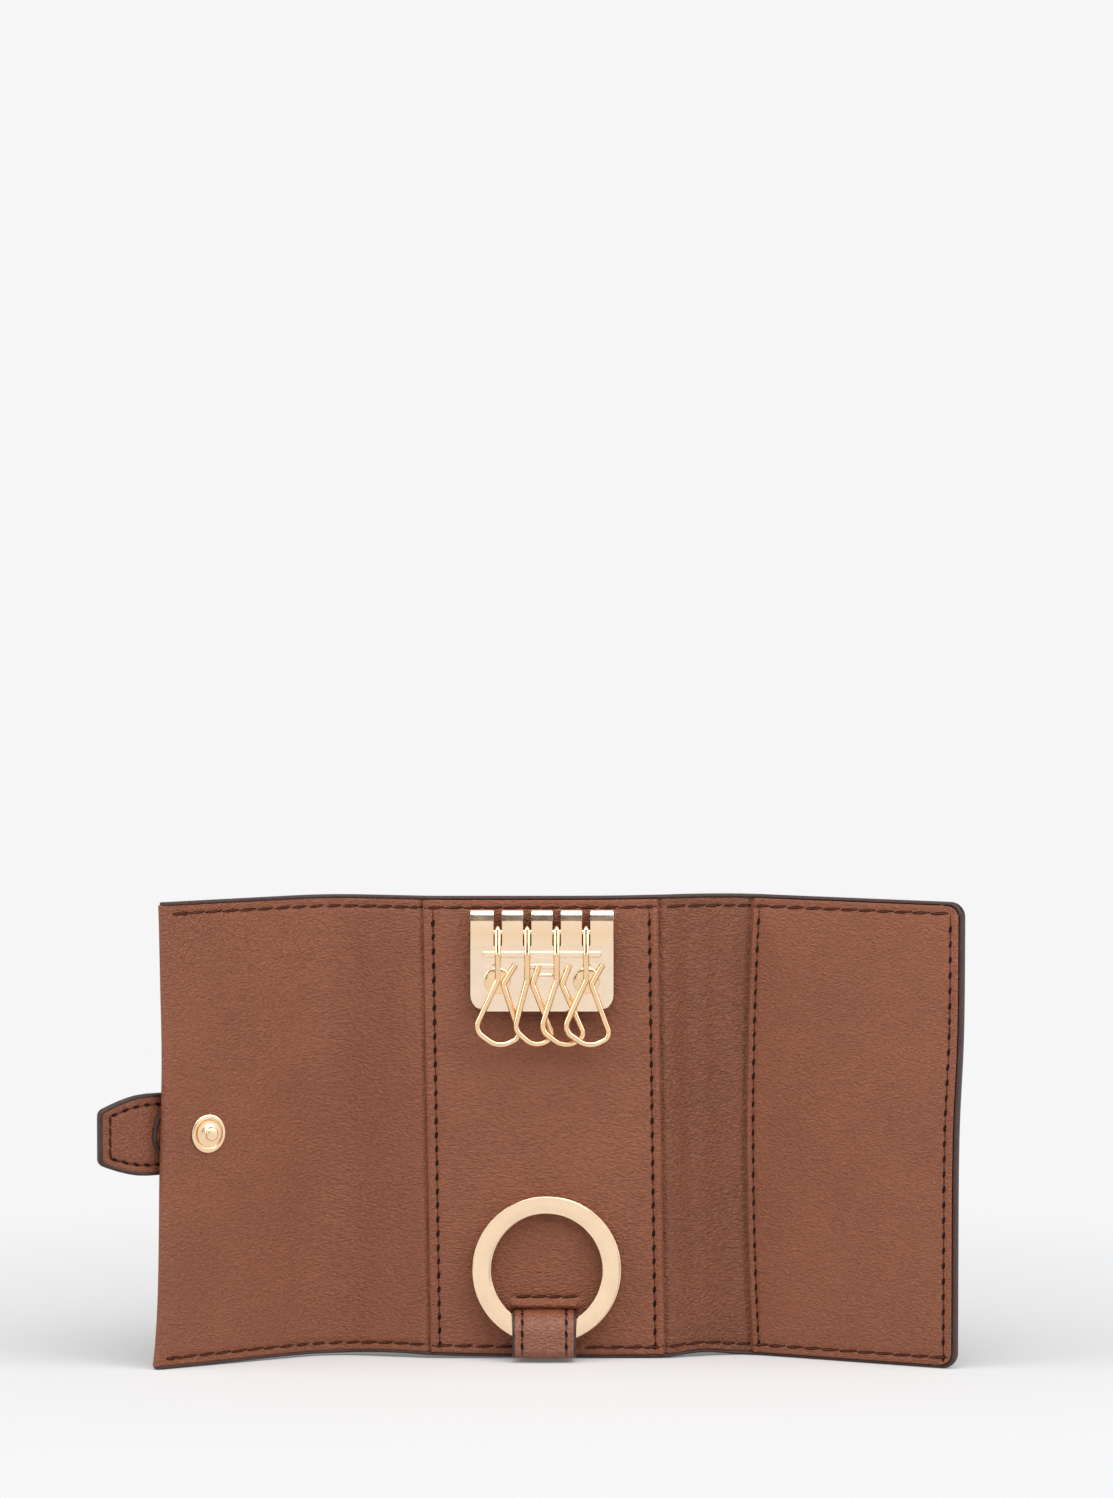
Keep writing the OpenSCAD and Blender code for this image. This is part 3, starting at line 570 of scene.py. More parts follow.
def build_left_lining():
    """One lining runs from the turned free edge over the cover and the spine to the facing."""
    radius = LEAF / 2
    heights = levels(LEFT_LINING_IN)

    def place(u, v):
        if u >= radius:
            return on_leaf(u + free_edge(v) * max(0, 1 - (u - radius) / 12), v, left_lining(u, v))
        if u >= 0:
            angle = (radius - u) / radius * pi
            return on_leaf(radius - radius * sin(angle) + free_edge(v), v,
                           -radius * cos(angle) + edge_dip(v, 0.6) * 0.5)
        return on_leaf(radius - u + free_edge(v) * (1 + u / HEM), v, radius - edge_dip(v, 0.6))

    turn = [-HEM, -4.0, -2.0, -0.6] + steps(0, radius, 10)
    sheet("left_cover_lining", "case_leather", turn + graded(radius, LEFT_MIDDLE, 2.2)[1:], heights, place,
          LINING_T, 0.2, (1,), LEFT_COVER_BEND, "lining_left_cover board_left_cover", 25)
    sheet("left_spine_lining", "case_leather", graded(LEFT_MIDDLE, LEFT_SPINE_FOLD + 3.2, 1.6, (FACING[0],)), heights,
          on_face(left_lining), LINING_T, 0.2, (-1,), LEFT_SPINE_BEND, "lining_left_spine padding_left_spine")


def right_lining(u, v):
    """The right spine's lining, puckered a little, runs on under the pocket."""
    start, height = u - RIGHT_SPINE_FOLD, v / CASE_HEIGHT
    within = min(1, min(v, CASE_HEIGHT - v) / 9)
    valley = 1.0 * bell(start - 4.8 - 1.5 * (1 - height), 1.9) * (0.25 + 0.75 * height)
    valley += 0.3 * bell(start - 11.5, 2.6) * (0.35 + 0.65 * height)
    ridge = 0.9 * bell(start - 15.4, 2.0) * bell(height - 0.86, 0.16)
    under = 0.35 * clamp((u - pocket_edge(v)) / 2.0)
    sunk = groove(u - FACING[1] - facing_lean(v), 0.5, 0.6) + groove(u - pocket_edge(v) + 0.2, 0.5, 0.9)
    face = -LEAF / 2 + row_grooves(u, v) + edge_dip(v)
    return face + (valley - ridge) * within + under + sunk


def build_right_lining():
    heights = levels(LINING_IN)
    # Both use the darker lining leather, whose tone is painted shade of the recess behind the right cover.
    sheet("right_spine_lining", "lining_leather", graded(RIGHT_SPINE_FOLD - 2.2, RIGHT_MIDDLE, 1.6, (FACING[1],)),
          heights, on_face(right_lining), LINING_T, 0.2, (1,), RIGHT_SPINE_BEND,
          "lining_right_spine padding_right_spine")
    sheet("pocket_back", "lining_leather",
          graded(RIGHT_MIDDLE, RIGHT_COVER_FOLD + 12, 1.6, (pocket_edge(0), pocket_edge(50)), 1.2),
          heights, on_face(right_lining), LINING_T, 0.2, (-1,), RIGHT_COVER_BEND, "pocket_backing")


def facing_bump(x, z):
    """The facing stands up over the strap's upper run."""
    beside = max(0.0, abs(x - STRAP_X) - 6.6)
    slit = 0.6 * exp(-((z - 10.3) / 0.45) ** 2 - (beside / 0.6) ** 2)
    return 0.85 * exp(-((z - 11.8) / 0.85) ** 2 - (beside / 1.1) ** 2) - slit


def facing_face(u, v):
    """How far out the facing's face lies, at a place along its own slanted rows."""
    down = row_grooves(u, v) + sum(groove(u - row, 0.3, 0.55) for row in FACING_ROWS) * pucker(v)
    x = u + facing_lean(v) - BACK_MIDDLE
    if abs(x) < STRAP_HALF + 0.5:
        down += groove(v - STRAP_ROW, 0.3, 0.6) * 0.8
    side = min(u - FACING[0], FACING[1] - u)
    return (-LEAF / 2 - 0.28 - 0.24 * bell(side - 0.95, 0.75) + min(down, 0.4) + edge_dip(v)
            + 0.4 * fade(side, 0.12) - facing_bump(x, v))


def build_facing():
    span = graded(*FACING, 2.2, (*FACING, *FACING_ROWS, BACK_MIDDLE - STRAP_HALF, BACK_MIDDLE + STRAP_HALF))
    sheet("back_facing", "facing_leather", span, levels(LINING_IN, (*ROWS, 10.8, STRAP_ROW)),
          lambda u, v: on_leaf(u + facing_lean(v), v, facing_face(u, v)), FACING_T, 0.25, (), "back", "center_facing",
          BACK_MIDDLE)


def pocket_edge(height):
    """The pocket's open edge is one long shallow arc."""
    half = CASE_HEIGHT / 2
    return RIGHT_COVER_FOLD + 0.8 + 1.8 * ((height - half) / half) ** 2


def free_side(height):
    """The right cover's free side stands out a little in its upper third."""
    return RIGHT_END + 0.05 - 1.35 / (1 + exp((height - 62) / 6))


def pocket_limit(height):
    """The pocket panel's free side, with its two round corners."""
    gap = min(height, CASE_HEIGHT - height) - POCKET_IN
    return free_side(height) - POCKET_IN - corner_cut(gap, CORNER - 0.5)


def cover_limit(height):
    """The right cover's free side, with its two round corners."""
    return free_side(height) - corner_cut(min(height, CASE_HEIGHT - height), CORNER)


def pocket_face(w, v):
    """How far out the pocket's face lies: a rolled free edge, sewn grooves and a soft middle."""
    gap, back, height = w - pocket_edge(v), pocket_limit(v) - w, min(v, CASE_HEIGHT - v)
    down = row_grooves(w, v) + (groove(gap - POCKET_ROW, 0.34, 0.6) + groove(back - 1.88)) * pucker(v)
    rim = 0.5 * fade(gap, 0.25) + 0.2 * fade(back, 0.4)
    puff = 0.16
    for inset in (gap - 2.5, back - 2.5, height - 3.2):
        puff *= clamp(inset / 6)
    return -1.62 - puff - 0.26 * bell(gap - 0.9, 0.7) + min(down, 0.4) + edge_dip(v, POCKET_IN) + rim


def build_pocket():
    near = 10
    span = graded(0, POCKET_SPAN, 2.2, (0.8, POCKET_ROW, 49.6, 0.3, 51.3))

    def place(u, v):
        start, end = pocket_edge(v), pocket_limit(v)
        w = start + u if u < near else start + near + (end - start - near) * (u - near) / (POCKET_SPAN - near)
        return on_leaf(w, v, pocket_face(w, v))

    sheet("pocket_leather", "facing_leather", span, levels(POCKET_IN, (*ROWS, 1.0, CASE_HEIGHT - 1.0)), place,
          POCKET_T, 0.22, (), "right_cover", "pocket_panel", RIGHT_COVER_FOLD + 25)


def outer_face(u, v):
    return LEAF / 2 - row_grooves(u, v, 0.22) - edge_dip(v, SHELL_IN)


def build_shell():
    """The outer leather, in pieces that meet at the middle of the back and of each spine."""
    heights = levels(SHELL_IN, pitch=3.0)
    for name, start, end, joins, bend, nodes in (
            ("left_cover_outer", 7.4, LEFT_MIDDLE, (1,), LEFT_COVER_BEND, "outer_left_cover"),
            ("left_spine_outer", LEFT_MIDDLE, BACK_MIDDLE, (-1, 1), LEFT_SPINE_BEND, "outer_left_spine"),
            ("right_spine_outer", BACK_MIDDLE, RIGHT_MIDDLE, (-1, 1), RIGHT_SPINE_BEND,
             "outer_back outer_right_spine board_back")):
        sheet(name, "case_leather", graded(start, end, 2.4), heights, on_face(outer_face), -SHELL_T, 0.15, joins,
              bend, nodes)
    span = graded(0, 1, 0.045, (1 - 0.042,), 0.03, 0.008)

    def place(u, v):
        start, end = RIGHT_MIDDLE, cover_limit(v) - SHELL_IN
        w = start + (end - start) * u
        down = groove(cover_limit(v) - w - 2.6, 0.22) * pucker(v)
        return on_leaf(w, v, outer_face(w, v) - down - 0.2 * fade(end - w, 0.5))

    sheet("right_cover_outer", "case_leather", span, heights, place, -SHELL_T, 0.15, (-1,), RIGHT_COVER_BEND,
          "outer_right_cover", RIGHT_COVER_FOLD + 25)
    sheet("right_cover_core", "lining_leather", steps(RIGHT_COVER_FOLD + 1.9, RIGHT_END - 3.2, 12),
          steps(1.2, CASE_HEIGHT - 1.2, 12), on_face(lambda u, v: -0.85), 1.15, 0.1, (), "right_cover",
          "board_right_cover", RIGHT_COVER_FOLD + 25)


# --- painted edges


def bead(path, half_thick, height, middle=0.0):
    """A painted edge: a flattened round bead along a path of [along, height, outward along, outward up]."""

    def place(i, angle):
        w, z, nw, nz = path[i]
        inwards = height * (1 - sin(angle)) / 2
        out = copysign(abs(cos(angle)) ** 0.6, cos(angle))
        return on_leaf(w - nw * inwards, z - nz * inwards, middle + half_thick * out)

    bm = grid(range(len(path)), steps(0, tau, 14), place)
    close_shell(bm)
    return bm


def round_edge():
    """From the right cover's fold along the top, round the free side and back along the foot."""
    path = [(w, CASE_HEIGHT, 0, 1) for w in steps(RIGHT_MIDDLE, free_side(CASE_HEIGHT) - CORNER, 26)]

    def turn(centre, first, last):
        for a in steps(first, last, 9):
            ca, sa = cos(radians(a)), sin(radians(a))
            path.append((free_side(centre) - CORNER + CORNER * ca, centre + CORNER * sa, ca, sa))

    turn(CASE_HEIGHT - CORNER, 90, 9)
    path.extend((free_side(z), z, 1, 0) for z in steps(CASE_HEIGHT - CORNER, CORNER, 40))
    turn(CORNER, -9, -90)
    return path + [(w, 0, 0, -1) for w in steps(free_side(0) - CORNER, RIGHT_MIDDLE, 26)[1:]]


def build_edges():
    height, half = sizes().edge_bead, LEAF / 2 * 0.99
    for name, start, end, bend, nodes in (
            ("left_cover", None, LEFT_MIDDLE, LEFT_COVER_BEND, "edge_paint_left_cover"),
            ("left_spine", LEFT_MIDDLE, BACK_MIDDLE, LEFT_SPINE_BEND, "edge_paint_left_spine"),
            ("right_spine", BACK_MIDDLE, RIGHT_MIDDLE, RIGHT_SPINE_BEND, "edge_paint_right_spine edge_paint_back")):
        bm = bmesh.new()
        for z, up in ((CASE_HEIGHT, 1), (0, -1)):
            first = start or free_edge(z) + 0.9
            join(bm, bead([(w, z, 0, up) for w in steps(first, end, max(2, round((end - first) / 2)))], half, height))
        add_piece(bm, name + "_edge", "painted_edge", bend, nodes, sharp=60)
    add_piece(bead(round_edge(), half, height), "right_cover_edge", "painted_edge", RIGHT_COVER_BEND,
              "edge_paint_right_cover", sharp=60)


# --- stitches

SIDE_ROW, SLANT = 2.6, 0.15
ROW_PITCH, SIDE_PITCH, TAB_PITCH, STRAP_PITCH = 3.08, 3.3, 2.9, 3.0


def lay_thread(bm, place, at, way, face, length, width, height, lift, slant=0.0):
    """A flattened spindle on the leather at [along, height]; face(along, height) is the leather's depth and side."""
    across = Vector((-way.y, way.x))
    for v in bmesh.ops.create_uvsphere(bm, u_segments=8, v_segments=6, radius=1)["verts"]:
        spot = at + way * v.co.z * length / 2 + across * (v.co.x * width / 2 + slant * v.co.z)
        depth, side = face(spot.x, spot.y)
        v.co = place(spot.x, spot.y, depth + side * (v.co.y * height / 2 + lift))


def sew(seam, start, end, face, place=on_leaf, pitch=None, pulled=False, slant=SLANT):
    """A row of stitches. Pulled ones lie deep, with a dark mark of painted shade at the needle hole at each end; the
    others lie slanted in a groove, over a wider dark mark of painted shade.
    """
    threads, hole_shade = seam
    start, end, thread = Vector(start), Vector(end), sizes().thread
    run = end - start
    count = max(1, round(run.length / (pitch or sizes().stitch_pitch)))
    pitch, way = run.length / count, run.normalized()
    for i in range(count):
        at = start + way * pitch * (i + 0.5)
        if pulled:
            lay_thread(threads, place, at, way, face, pitch * 0.9, thread * 0.6, thread * 0.5, 0.0)
            # Painted shade: a near-black spindle at the needle hole.
            lay_thread(hole_shade, place, at - way * pitch / 2, way, face, 1.75, thread * 1.45, 0.26, 0.02, -0.1)
        else:
            lay_thread(threads, place, at, way, face, pitch * 0.84, thread * 0.8, thread * 0.8, 0.03, slant)
            # Painted shade: a near-black lens under the thread, wider than it, in its groove.
            lay_thread(hole_shade, place, at, way, face, pitch * 1.05, thread * 1.35, 0.2, 0.0, slant)


def new_seam():
    return bmesh.new(), bmesh.new()


def add_seam(seam, name, moves):
    threads, hole_shade = seam
    add_piece(threads, name + "_stitches", "thread", moves, name + "_stitching")
    # The second piece holds the painted shade of the holes and grooves.
    add_piece(hole_shade, name + "_needle_holes", "needle_hole", moves)


def inside(surface):
    return lambda u, v: (surface(u, v), -1)


def beside(line):
    """A place for a row that runs up beside a line that isn't straight."""
    return lambda u, v, out: on_leaf(line(v) + u, v, out)


def build_stitches():
    """Every seam's thread, inside and out."""
    low, top = ROWS
    left_face, right_face, facing, pocket = map(inside, (left_lining, right_lining, facing_face, pocket_face))
    outside = lambda u, v: (outer_face(u, v), 1)
    seam = new_seam()
    for z in ROWS:
        start = free_edge(z) + 2.3
        sew(seam, (start, z), (LEFT_MIDDLE, z), left_face)
        sew(seam, (start + 0.2, z - 0.2), (start + 4.2, z - 0.2), left_face, pitch=2.6, slant=-SLANT)
        sew(seam, (8.6, z), (LEFT_MIDDLE, z), outside)
    add_seam(seam, "left_cover", LEFT_COVER_BEND)
    seam = new_seam()
    for z in ROWS:
        sew(seam, (LEFT_MIDDLE, z), (FACING[0] - 0.3, z), left_face)
        sew(seam, (LEFT_MIDDLE, z), (BACK_MIDDLE, z), outside)
    add_seam(seam, "left_spine", LEFT_SPINE_BEND)

    askew = lambda u, v, out: on_leaf(u + facing_lean(v), v, out)
    half, strap = STRAP_HALF + 0.4, BACK_MIDDLE - facing_lean(STRAP_ROW)
    seam = new_seam()
    sew(seam, (FACING[0] + 0.4, top), (FACING[1] - 0.4, top), facing, askew, slant=0.13)
    sew(seam, (FACING[0] + 0.4, low), (BACK_MIDDLE - half, low), facing, askew)
    sew(seam, (BACK_MIDDLE + half, low), (FACING[1] - 0.4, low), facing, askew)
    for u in FACING_ROWS:
        sew(seam, (u, low + 0.3), (u, top - 0.3), facing, askew, ROW_PITCH, True)
    sew(seam, (strap - 6.7, STRAP_ROW), (strap + 6.7, STRAP_ROW), facing, askew, 3.5, slant=0.13)
    add_seam(seam, "facing", "back")
    seam = new_seam()
    for z in ROWS:
        sew(seam, (FACING[1] + 0.9, z), (RIGHT_MIDDLE, z), right_face)
        sew(seam, (BACK_MIDDLE, z), (RIGHT_MIDDLE, z), outside)
    add_seam(seam, "right_spine", RIGHT_SPINE_BEND)
    seam = new_seam()
    end = RIGHT_END - 3.0
    for z in ROWS:
        sew(seam, (RIGHT_MIDDLE, z), (pocket_edge(z) - 0.2, z), right_face)
        sew(seam, (pocket_edge(z) + 0.2, z), (end, z), pocket)
        sew(seam, (RIGHT_MIDDLE, z), (end, z), outside)

    side = lambda v: free_side(v) - SIDE_ROW
    sew(seam, (0, low), (0, top), lambda u, v: pocket(side(v) + u, v), beside(side), SIDE_PITCH, True)
    sew(seam, (0, low), (0, top), outside, beside(side), SIDE_PITCH, True)
    sew(seam, (POCKET_ROW, low + 0.3), (POCKET_ROW, top - 0.3), lambda u, v: pocket(pocket_edge(v) + u, v),
        beside(pocket_edge), ROW_PITCH, True)
    add_seam(seam, "right_cover", RIGHT_COVER_BEND)


# --- tab and snap

TAB_OUT, TAB_HOLD, TAB_HALF, TAB_END_HALF, TAB_ROW, TAB_CORNER = 13.3, 22.0, 8.95, 6.2, 2.4, 1.5
TAB_Z = SNAP_Z + 0.2
TAB_SHARES = [(0, 0), (0.1, 0), (0.28, 0.07), (0.46, 0.24), (0.62, 0.46), (0.78, 0.72), (0.9, 0.94), (1, 1.02)]
TAB_INSIDE, TAB_INSIDE_T, TAB_OUTSIDE, TAB_OUTSIDE_T, TAB_SUNK = 2.0, 0.85, 3.6, 0.8, 0.14
KEEPER_END, KEEPER_R = -0.35, 6.4


def tab_half(w):
    """Half the tab's height at a distance from the cover's free edge, which is 0 and outside is below 0."""
    if w > TAB_HOLD:
        return sqrt(max(0, TAB_HALF ** 2 - (w - TAB_HOLD) ** 2))
    share = clamp(-w / TAB_OUT)
    for (a, x), (b, y) in zip(TAB_SHARES, TAB_SHARES[1:]):
        if a <= share <= b:
            drop = x + (y - x) * (share - a) / (b - a)
            break
    return TAB_HALF - (TAB_HALF - TAB_END_HALF) * drop - corner_cut(w + TAB_OUT, TAB_CORNER)


def tab_stations():
    ends = [-TAB_OUT + d for d in (0, 0.06, 0.2, 0.45, 0.8, 1.25, 1.9)]
    inner_end = [TAB_HOLD + TAB_HALF * sin(a) for a in steps(0, pi / 2, 14)]
    return ends + steps(-TAB_OUT + 2.6, TAB_HOLD, 34) + inner_end[1:]


def tab_layer(name, look, face, thickness, node):
    """One leather of the tab, 0.45 smaller all round than the painted edge."""
    inset = 0.45

    def place(u, v):
        half = tab_half(u) - inset
        edge = min(half - abs(half * v), u + TAB_OUT if u < 0 else 99)
        down = groove(edge - TAB_ROW + inset, 0.2, 0.6) + 0.25 * fade(edge, 0.5)
        w = u + inset * (1 if u < -TAB_OUT + 3 else 0)
        return on_leaf(w, TAB_Z + half * v, face + copysign(down, thickness))

    shares = [-1, -0.985, -0.95, -0.9, -0.85, -0.8, -0.76, -0.72, -0.68, -0.62, -0.55, -0.4, -0.2, 0]
    bm = grid(tab_stations(), shares + [-v for v in reversed(shares[:-1])], place)
    bmesh.ops.dissolve_degenerate(bm, dist=1e-7, edges=bm.edges[:])
    look_inwards(bm, 5, copysign(1, -thickness))
    thicken(bm, abs(thickness), 0.12)
    add_piece(bm, name, look, "left_cover", node)


def tab_rim():
    """The tab's outline, with the directions that look outwards."""
    upper = [(w, TAB_Z + tab_half(w)) for w in tab_stations()]
    outline = upper + [(w, 2 * TAB_Z - z) for w, z in reversed(upper)]
    outline = [p for i, p in enumerate(outline) if i == 0 or dist(p, outline[i - 1]) > 0.02]
    path = []
    for i in range(len(outline) + 1):
        before, p, after = (outline[(i + d) % len(outline)] for d in (-1, 0, 1))
        way = (Vector(after) - Vector(before)).normalized()
        path.append((*p, -way.y, way.x))
    return path


def keeper_half(w):
    centre = KEEPER_END + KEEPER_R
    return sqrt(max(0, KEEPER_R ** 2 - (centre - w) ** 2)) if w < centre else KEEPER_R


def build_keeper():
    centre = KEEPER_END + KEEPER_R
    stations = [KEEPER_END + KEEPER_R * (1 - cos(a)) for a in steps(0, pi / 2, 16)] + [9, 12, 16]

    def rim(w, rise):
        out = Vector((w - centre, rise)).normalized() if w < centre - 1e-9 else (0, copysign(1, rise))
        return (w, SNAP_Z + rise, *out)

    path = [rim(w, -keeper_half(w)) for w in reversed(stations)] + [rim(w, keeper_half(w)) for w in stations[1:]]
    add_piece(bead(path, 0.4, 1.0, 1.6), "keeper_edge", "painted_edge", "left_cover", sharp=60)
    sheet("keeper_leather", "lining_leather", stations, steps(-1, 1, 12),
          lambda u, v: on_leaf(u + 0.3, SNAP_Z + max(0.05, keeper_half(u) - 0.5) * v, 1.27), 0.66, 0, (),
          "left_cover", "tab_keeper", 9)


def build_tab():
    tab_layer("tab_inside", "tab_leather", TAB_INSIDE, TAB_INSIDE_T, "tab_inner")
    tab_layer("tab_outside", "case_leather", TAB_OUTSIDE, -TAB_OUTSIDE_T, "tab_outer")
    bm = bead(tab_rim(), 0.84, 0.95, 2.8)
    bmesh.ops.remove_doubles(bm, verts=bm.verts[:], dist=2e-6)
    add_piece(bm, "tab_edge", "painted_edge", "left_cover", sharp=60)
    core = grid(steps(-TAB_OUT + 1.2, TAB_HOLD + 6, 20), steps(-1, 1, 4),
                lambda u, v: on_leaf(u, TAB_Z + (tab_half(u) - 1.2) * v, 2.5))
    thicken(core, 0.5)
    add_piece(core, "tab_core", "tab_leather", "left_cover")
    build_keeper()
    seam = new_seam()
    end = -TAB_OUT + TAB_ROW + 0.35
    bend = end + 0.9
    for last, depth, side in ((4, TAB_INSIDE + TAB_SUNK, -1), (TAB_HOLD, TAB_OUTSIDE - TAB_SUNK, 1)):
        face = lambda u, v, d=depth, s=side: (d, s)
        for up in (-1, 1):
            edge = lambda u, v, out, up=up: on_leaf(u, TAB_Z + up * (tab_half(max(u, bend)) - TAB_ROW) + v, out)
            corner = TAB_Z + up * (tab_half(bend) - TAB_ROW - 0.2)
            sew(seam, (bend, 0), (last, 0), face, edge, TAB_PITCH, True)
            sew(seam, (end, TAB_Z), (end, corner), face, pitch=2.6, slant=0.1)
    add_seam(seam, "tab", "left_cover")


def put(bm, matrix):
    bmesh.ops.transform(bm, matrix=matrix, verts=bm.verts[:])
    return bm


def build_snap():
    stud = [(0, 0), (4.1, 0), *arc(4.0, 0.24, 0.24, -80, 80, 6), (3.75, 0.5), (3.42, 0.5), (3.36, 0.44), (3.3, 0.06),
            (3.0, 0.03), (2.9, 0.28), (2.82, 0.4), (2.3, 0.42), (1.8, 0.46), (1.5, 0.56), (1.28, 0.8), (1.16, 1.1),
            (1.1, 1.4), *arc(1.1, 1.84, 0.36, -70, 84, 10), (0.8, 2.23), (0.4, 2.25), (0, 2.26)]
    cap = [(0, 0), (4.55, 0), *arc(4.5, 0.22, 0.22, -80, 60, 6), (3.9, 0.72), (3.0, 0.98), (2.0, 1.12), (1.0, 1.18),
           (0, 1.2)]
    socket = [(1.75, 0.35), (1.75, 1.45), *arc(1.95, 1.45, 0.2, 180, 90, 4), (2.9, 1.65), (3.1, 1.35), (3.5, 1.3),
              (3.75, 1.55), *arc(4.0, 1.3, 0.25, 90, 0, 5), (4.28, 0.4), (4.28, 0), (1.55, 0), (1.55, 0.35),
              (1.75, 0.35)]
    back_width, spine_width, shut_slant = 51.6, 18.5, 10
    socket_station = (RIGHT_COVER_FOLD + back_width + spine_width * sin(radians(shut_slant))
                      - (COVER_WIDTH["left"] - SNAP_STATION))
    bm = lathe(stud, 96)
    for v in bm.verts:
        if 2.85 < hypot(v.co.x, v.co.y) / MM < 3.3:
            v.co.z += 0.03 * MM * cos(atan2(v.co.y, v.co.x) * 32)
    for bm, station, out, outwards, name, look, body, node in (
            (bm, SNAP_STATION, -LEAF / 2 + 0.03, False, "snap_button", "snap_gold", "left_cover", "snap_stud"),
            (lathe(cap, 64), SNAP_STATION, 3.52, True, "snap_top", "pale_gold", "left_cover", "snap_cap"),
            (lathe(socket, 64), socket_station, LEAF / 2 - 0.1, True, "snap_spring", "pale_gold", "right_cover",
             "snap_socket")):
        add_piece(put(bm, leaf_frame(station, SNAP_Z, out, outwards)), name, look, body, node)


# --- key plate and hooks

PLATE_X, PLATE_TOP, PLATE_BOTTOM, PLATE_W, HOOK_PITCH = -1.05, 98.85, 76.65, 31.2, 6.42
AXLE_Y, AXLE_Z = -3.05, 93.9
PLATE_FACE, PLATE_CORNER, PLATE_BEND, PLATE_T, SLOT_HALF = -4.4, 3.6, 91.0, 0.62, 0.9
RIBS = [(0, 89.2, 25.8, 1.45, 0.75), (0, 86.6, 7.4, 1.15, 0.8), (0.3, 84.7, 4.6, 0.8, 0.45)]
RIVET_X, RIVET_Z = 9.75, 83.4
LOOPS = [(0.535, 0.52, 0.4), (0.285, 0.6, 0.265), (0.36, 0.655, 0.29), (0.515, 0.565, 0.38)]
FORWARD = Vector((0, -1, 0))


def at_back(x, y, z):
    """A point given from the middle of the back leaf, in millimetres."""
    return Vector((BACK_X + x, BACK_Y + y, z)) * MM


def lay_at(bm, point, axis):
    """Lays a shape drawn along +Z along -Y or +X, at a point."""
    turn = Matrix.Rotation(pi / 2, 4, "X" if axis == "-Y" else "Y")
    return put(bm, Matrix.Translation(point) @ turn)


def plate_profile():
    """The sheet's outer line from its lower edge up the face, over the roll and down behind the axle."""
    line = [(PLATE_FACE, z) for z in graded(PLATE_BOTTOM, PLATE_BEND, 0.9, (89.2, 85.9), 1.9, 0.2)]
    line += [(PLATE_FACE + 0.05 * (z - PLATE_BEND), z) for z in steps(PLATE_BEND, PLATE_TOP - 2.5, 6)[1:]]
    kink = PLATE_TOP - 2.35
    line += [(PLATE_FACE + 0.1 + 0.27 * (z - kink), z) for z in steps(kink, PLATE_TOP - 1.4, 4)]
    start, deep, high = radians(12), 1.47, 1.77
    centre_y, centre_z = PLATE_FACE + 0.35 + deep * cos(start), PLATE_TOP - high
    line += [(centre_y - deep * cos(a), centre_z + high * sin(a)) for a in steps(start, pi, 24)[1:]]
    return line + [(centre_y + deep, z) for z in steps(centre_z, AXLE_Z, 5)[1:]]


def plate_sheet(slots):
    profile = plate_profile()
    edges = [s + d for s in slots for d in (-SLOT_HALF, SLOT_HALF)]
    marks = {round(v, 3) for v in steps(-PLATE_W / 2, PLATE_W / 2, 40)}
    marks = sorted([m for m in marks if all(abs(m - e) > 0.3 for e in edges)] + edges)
    flat = PLATE_W / 2 - PLATE_CORNER - 0.5

    def place(x, i):
        y, z = profile[i]
        if y == PLATE_FACE:
            if z < PLATE_BOTTOM + PLATE_CORNER and abs(x) > flat:
                limit = PLATE_W / 2 - corner_cut(z - PLATE_BOTTOM, PLATE_CORNER)
                x = copysign(flat + (abs(x) - flat) / (PLATE_CORNER + 0.5) * (limit - flat), x)
            y -= sum(0.14 * bell(hypot(x - r, z - RIVET_Z) - 3.3, 0.3) for r in (-RIVET_X, RIVET_X))
        return at_back(PLATE_X + x, y, z)

    bm = grid(marks, range(len(profile)), place)
    cut = []
    for f in bm.faces:
        c = f.calc_center_median() / MM
        x = c.x - BACK_X - PLATE_X
        rolled = c.z > PLATE_BEND or c.y - BACK_Y > PLATE_FACE + 1.7
        if rolled and any(abs(x - s) < SLOT_HALF for s in slots):
            cut.append(f)
    bmesh.ops.delete(bm, geom=cut, context="FACES")
    look_at(bm, at_back(PLATE_X, PLATE_FACE, 80), FORWARD)
    thicken(bm, PLATE_T, 0.14)
    return bm


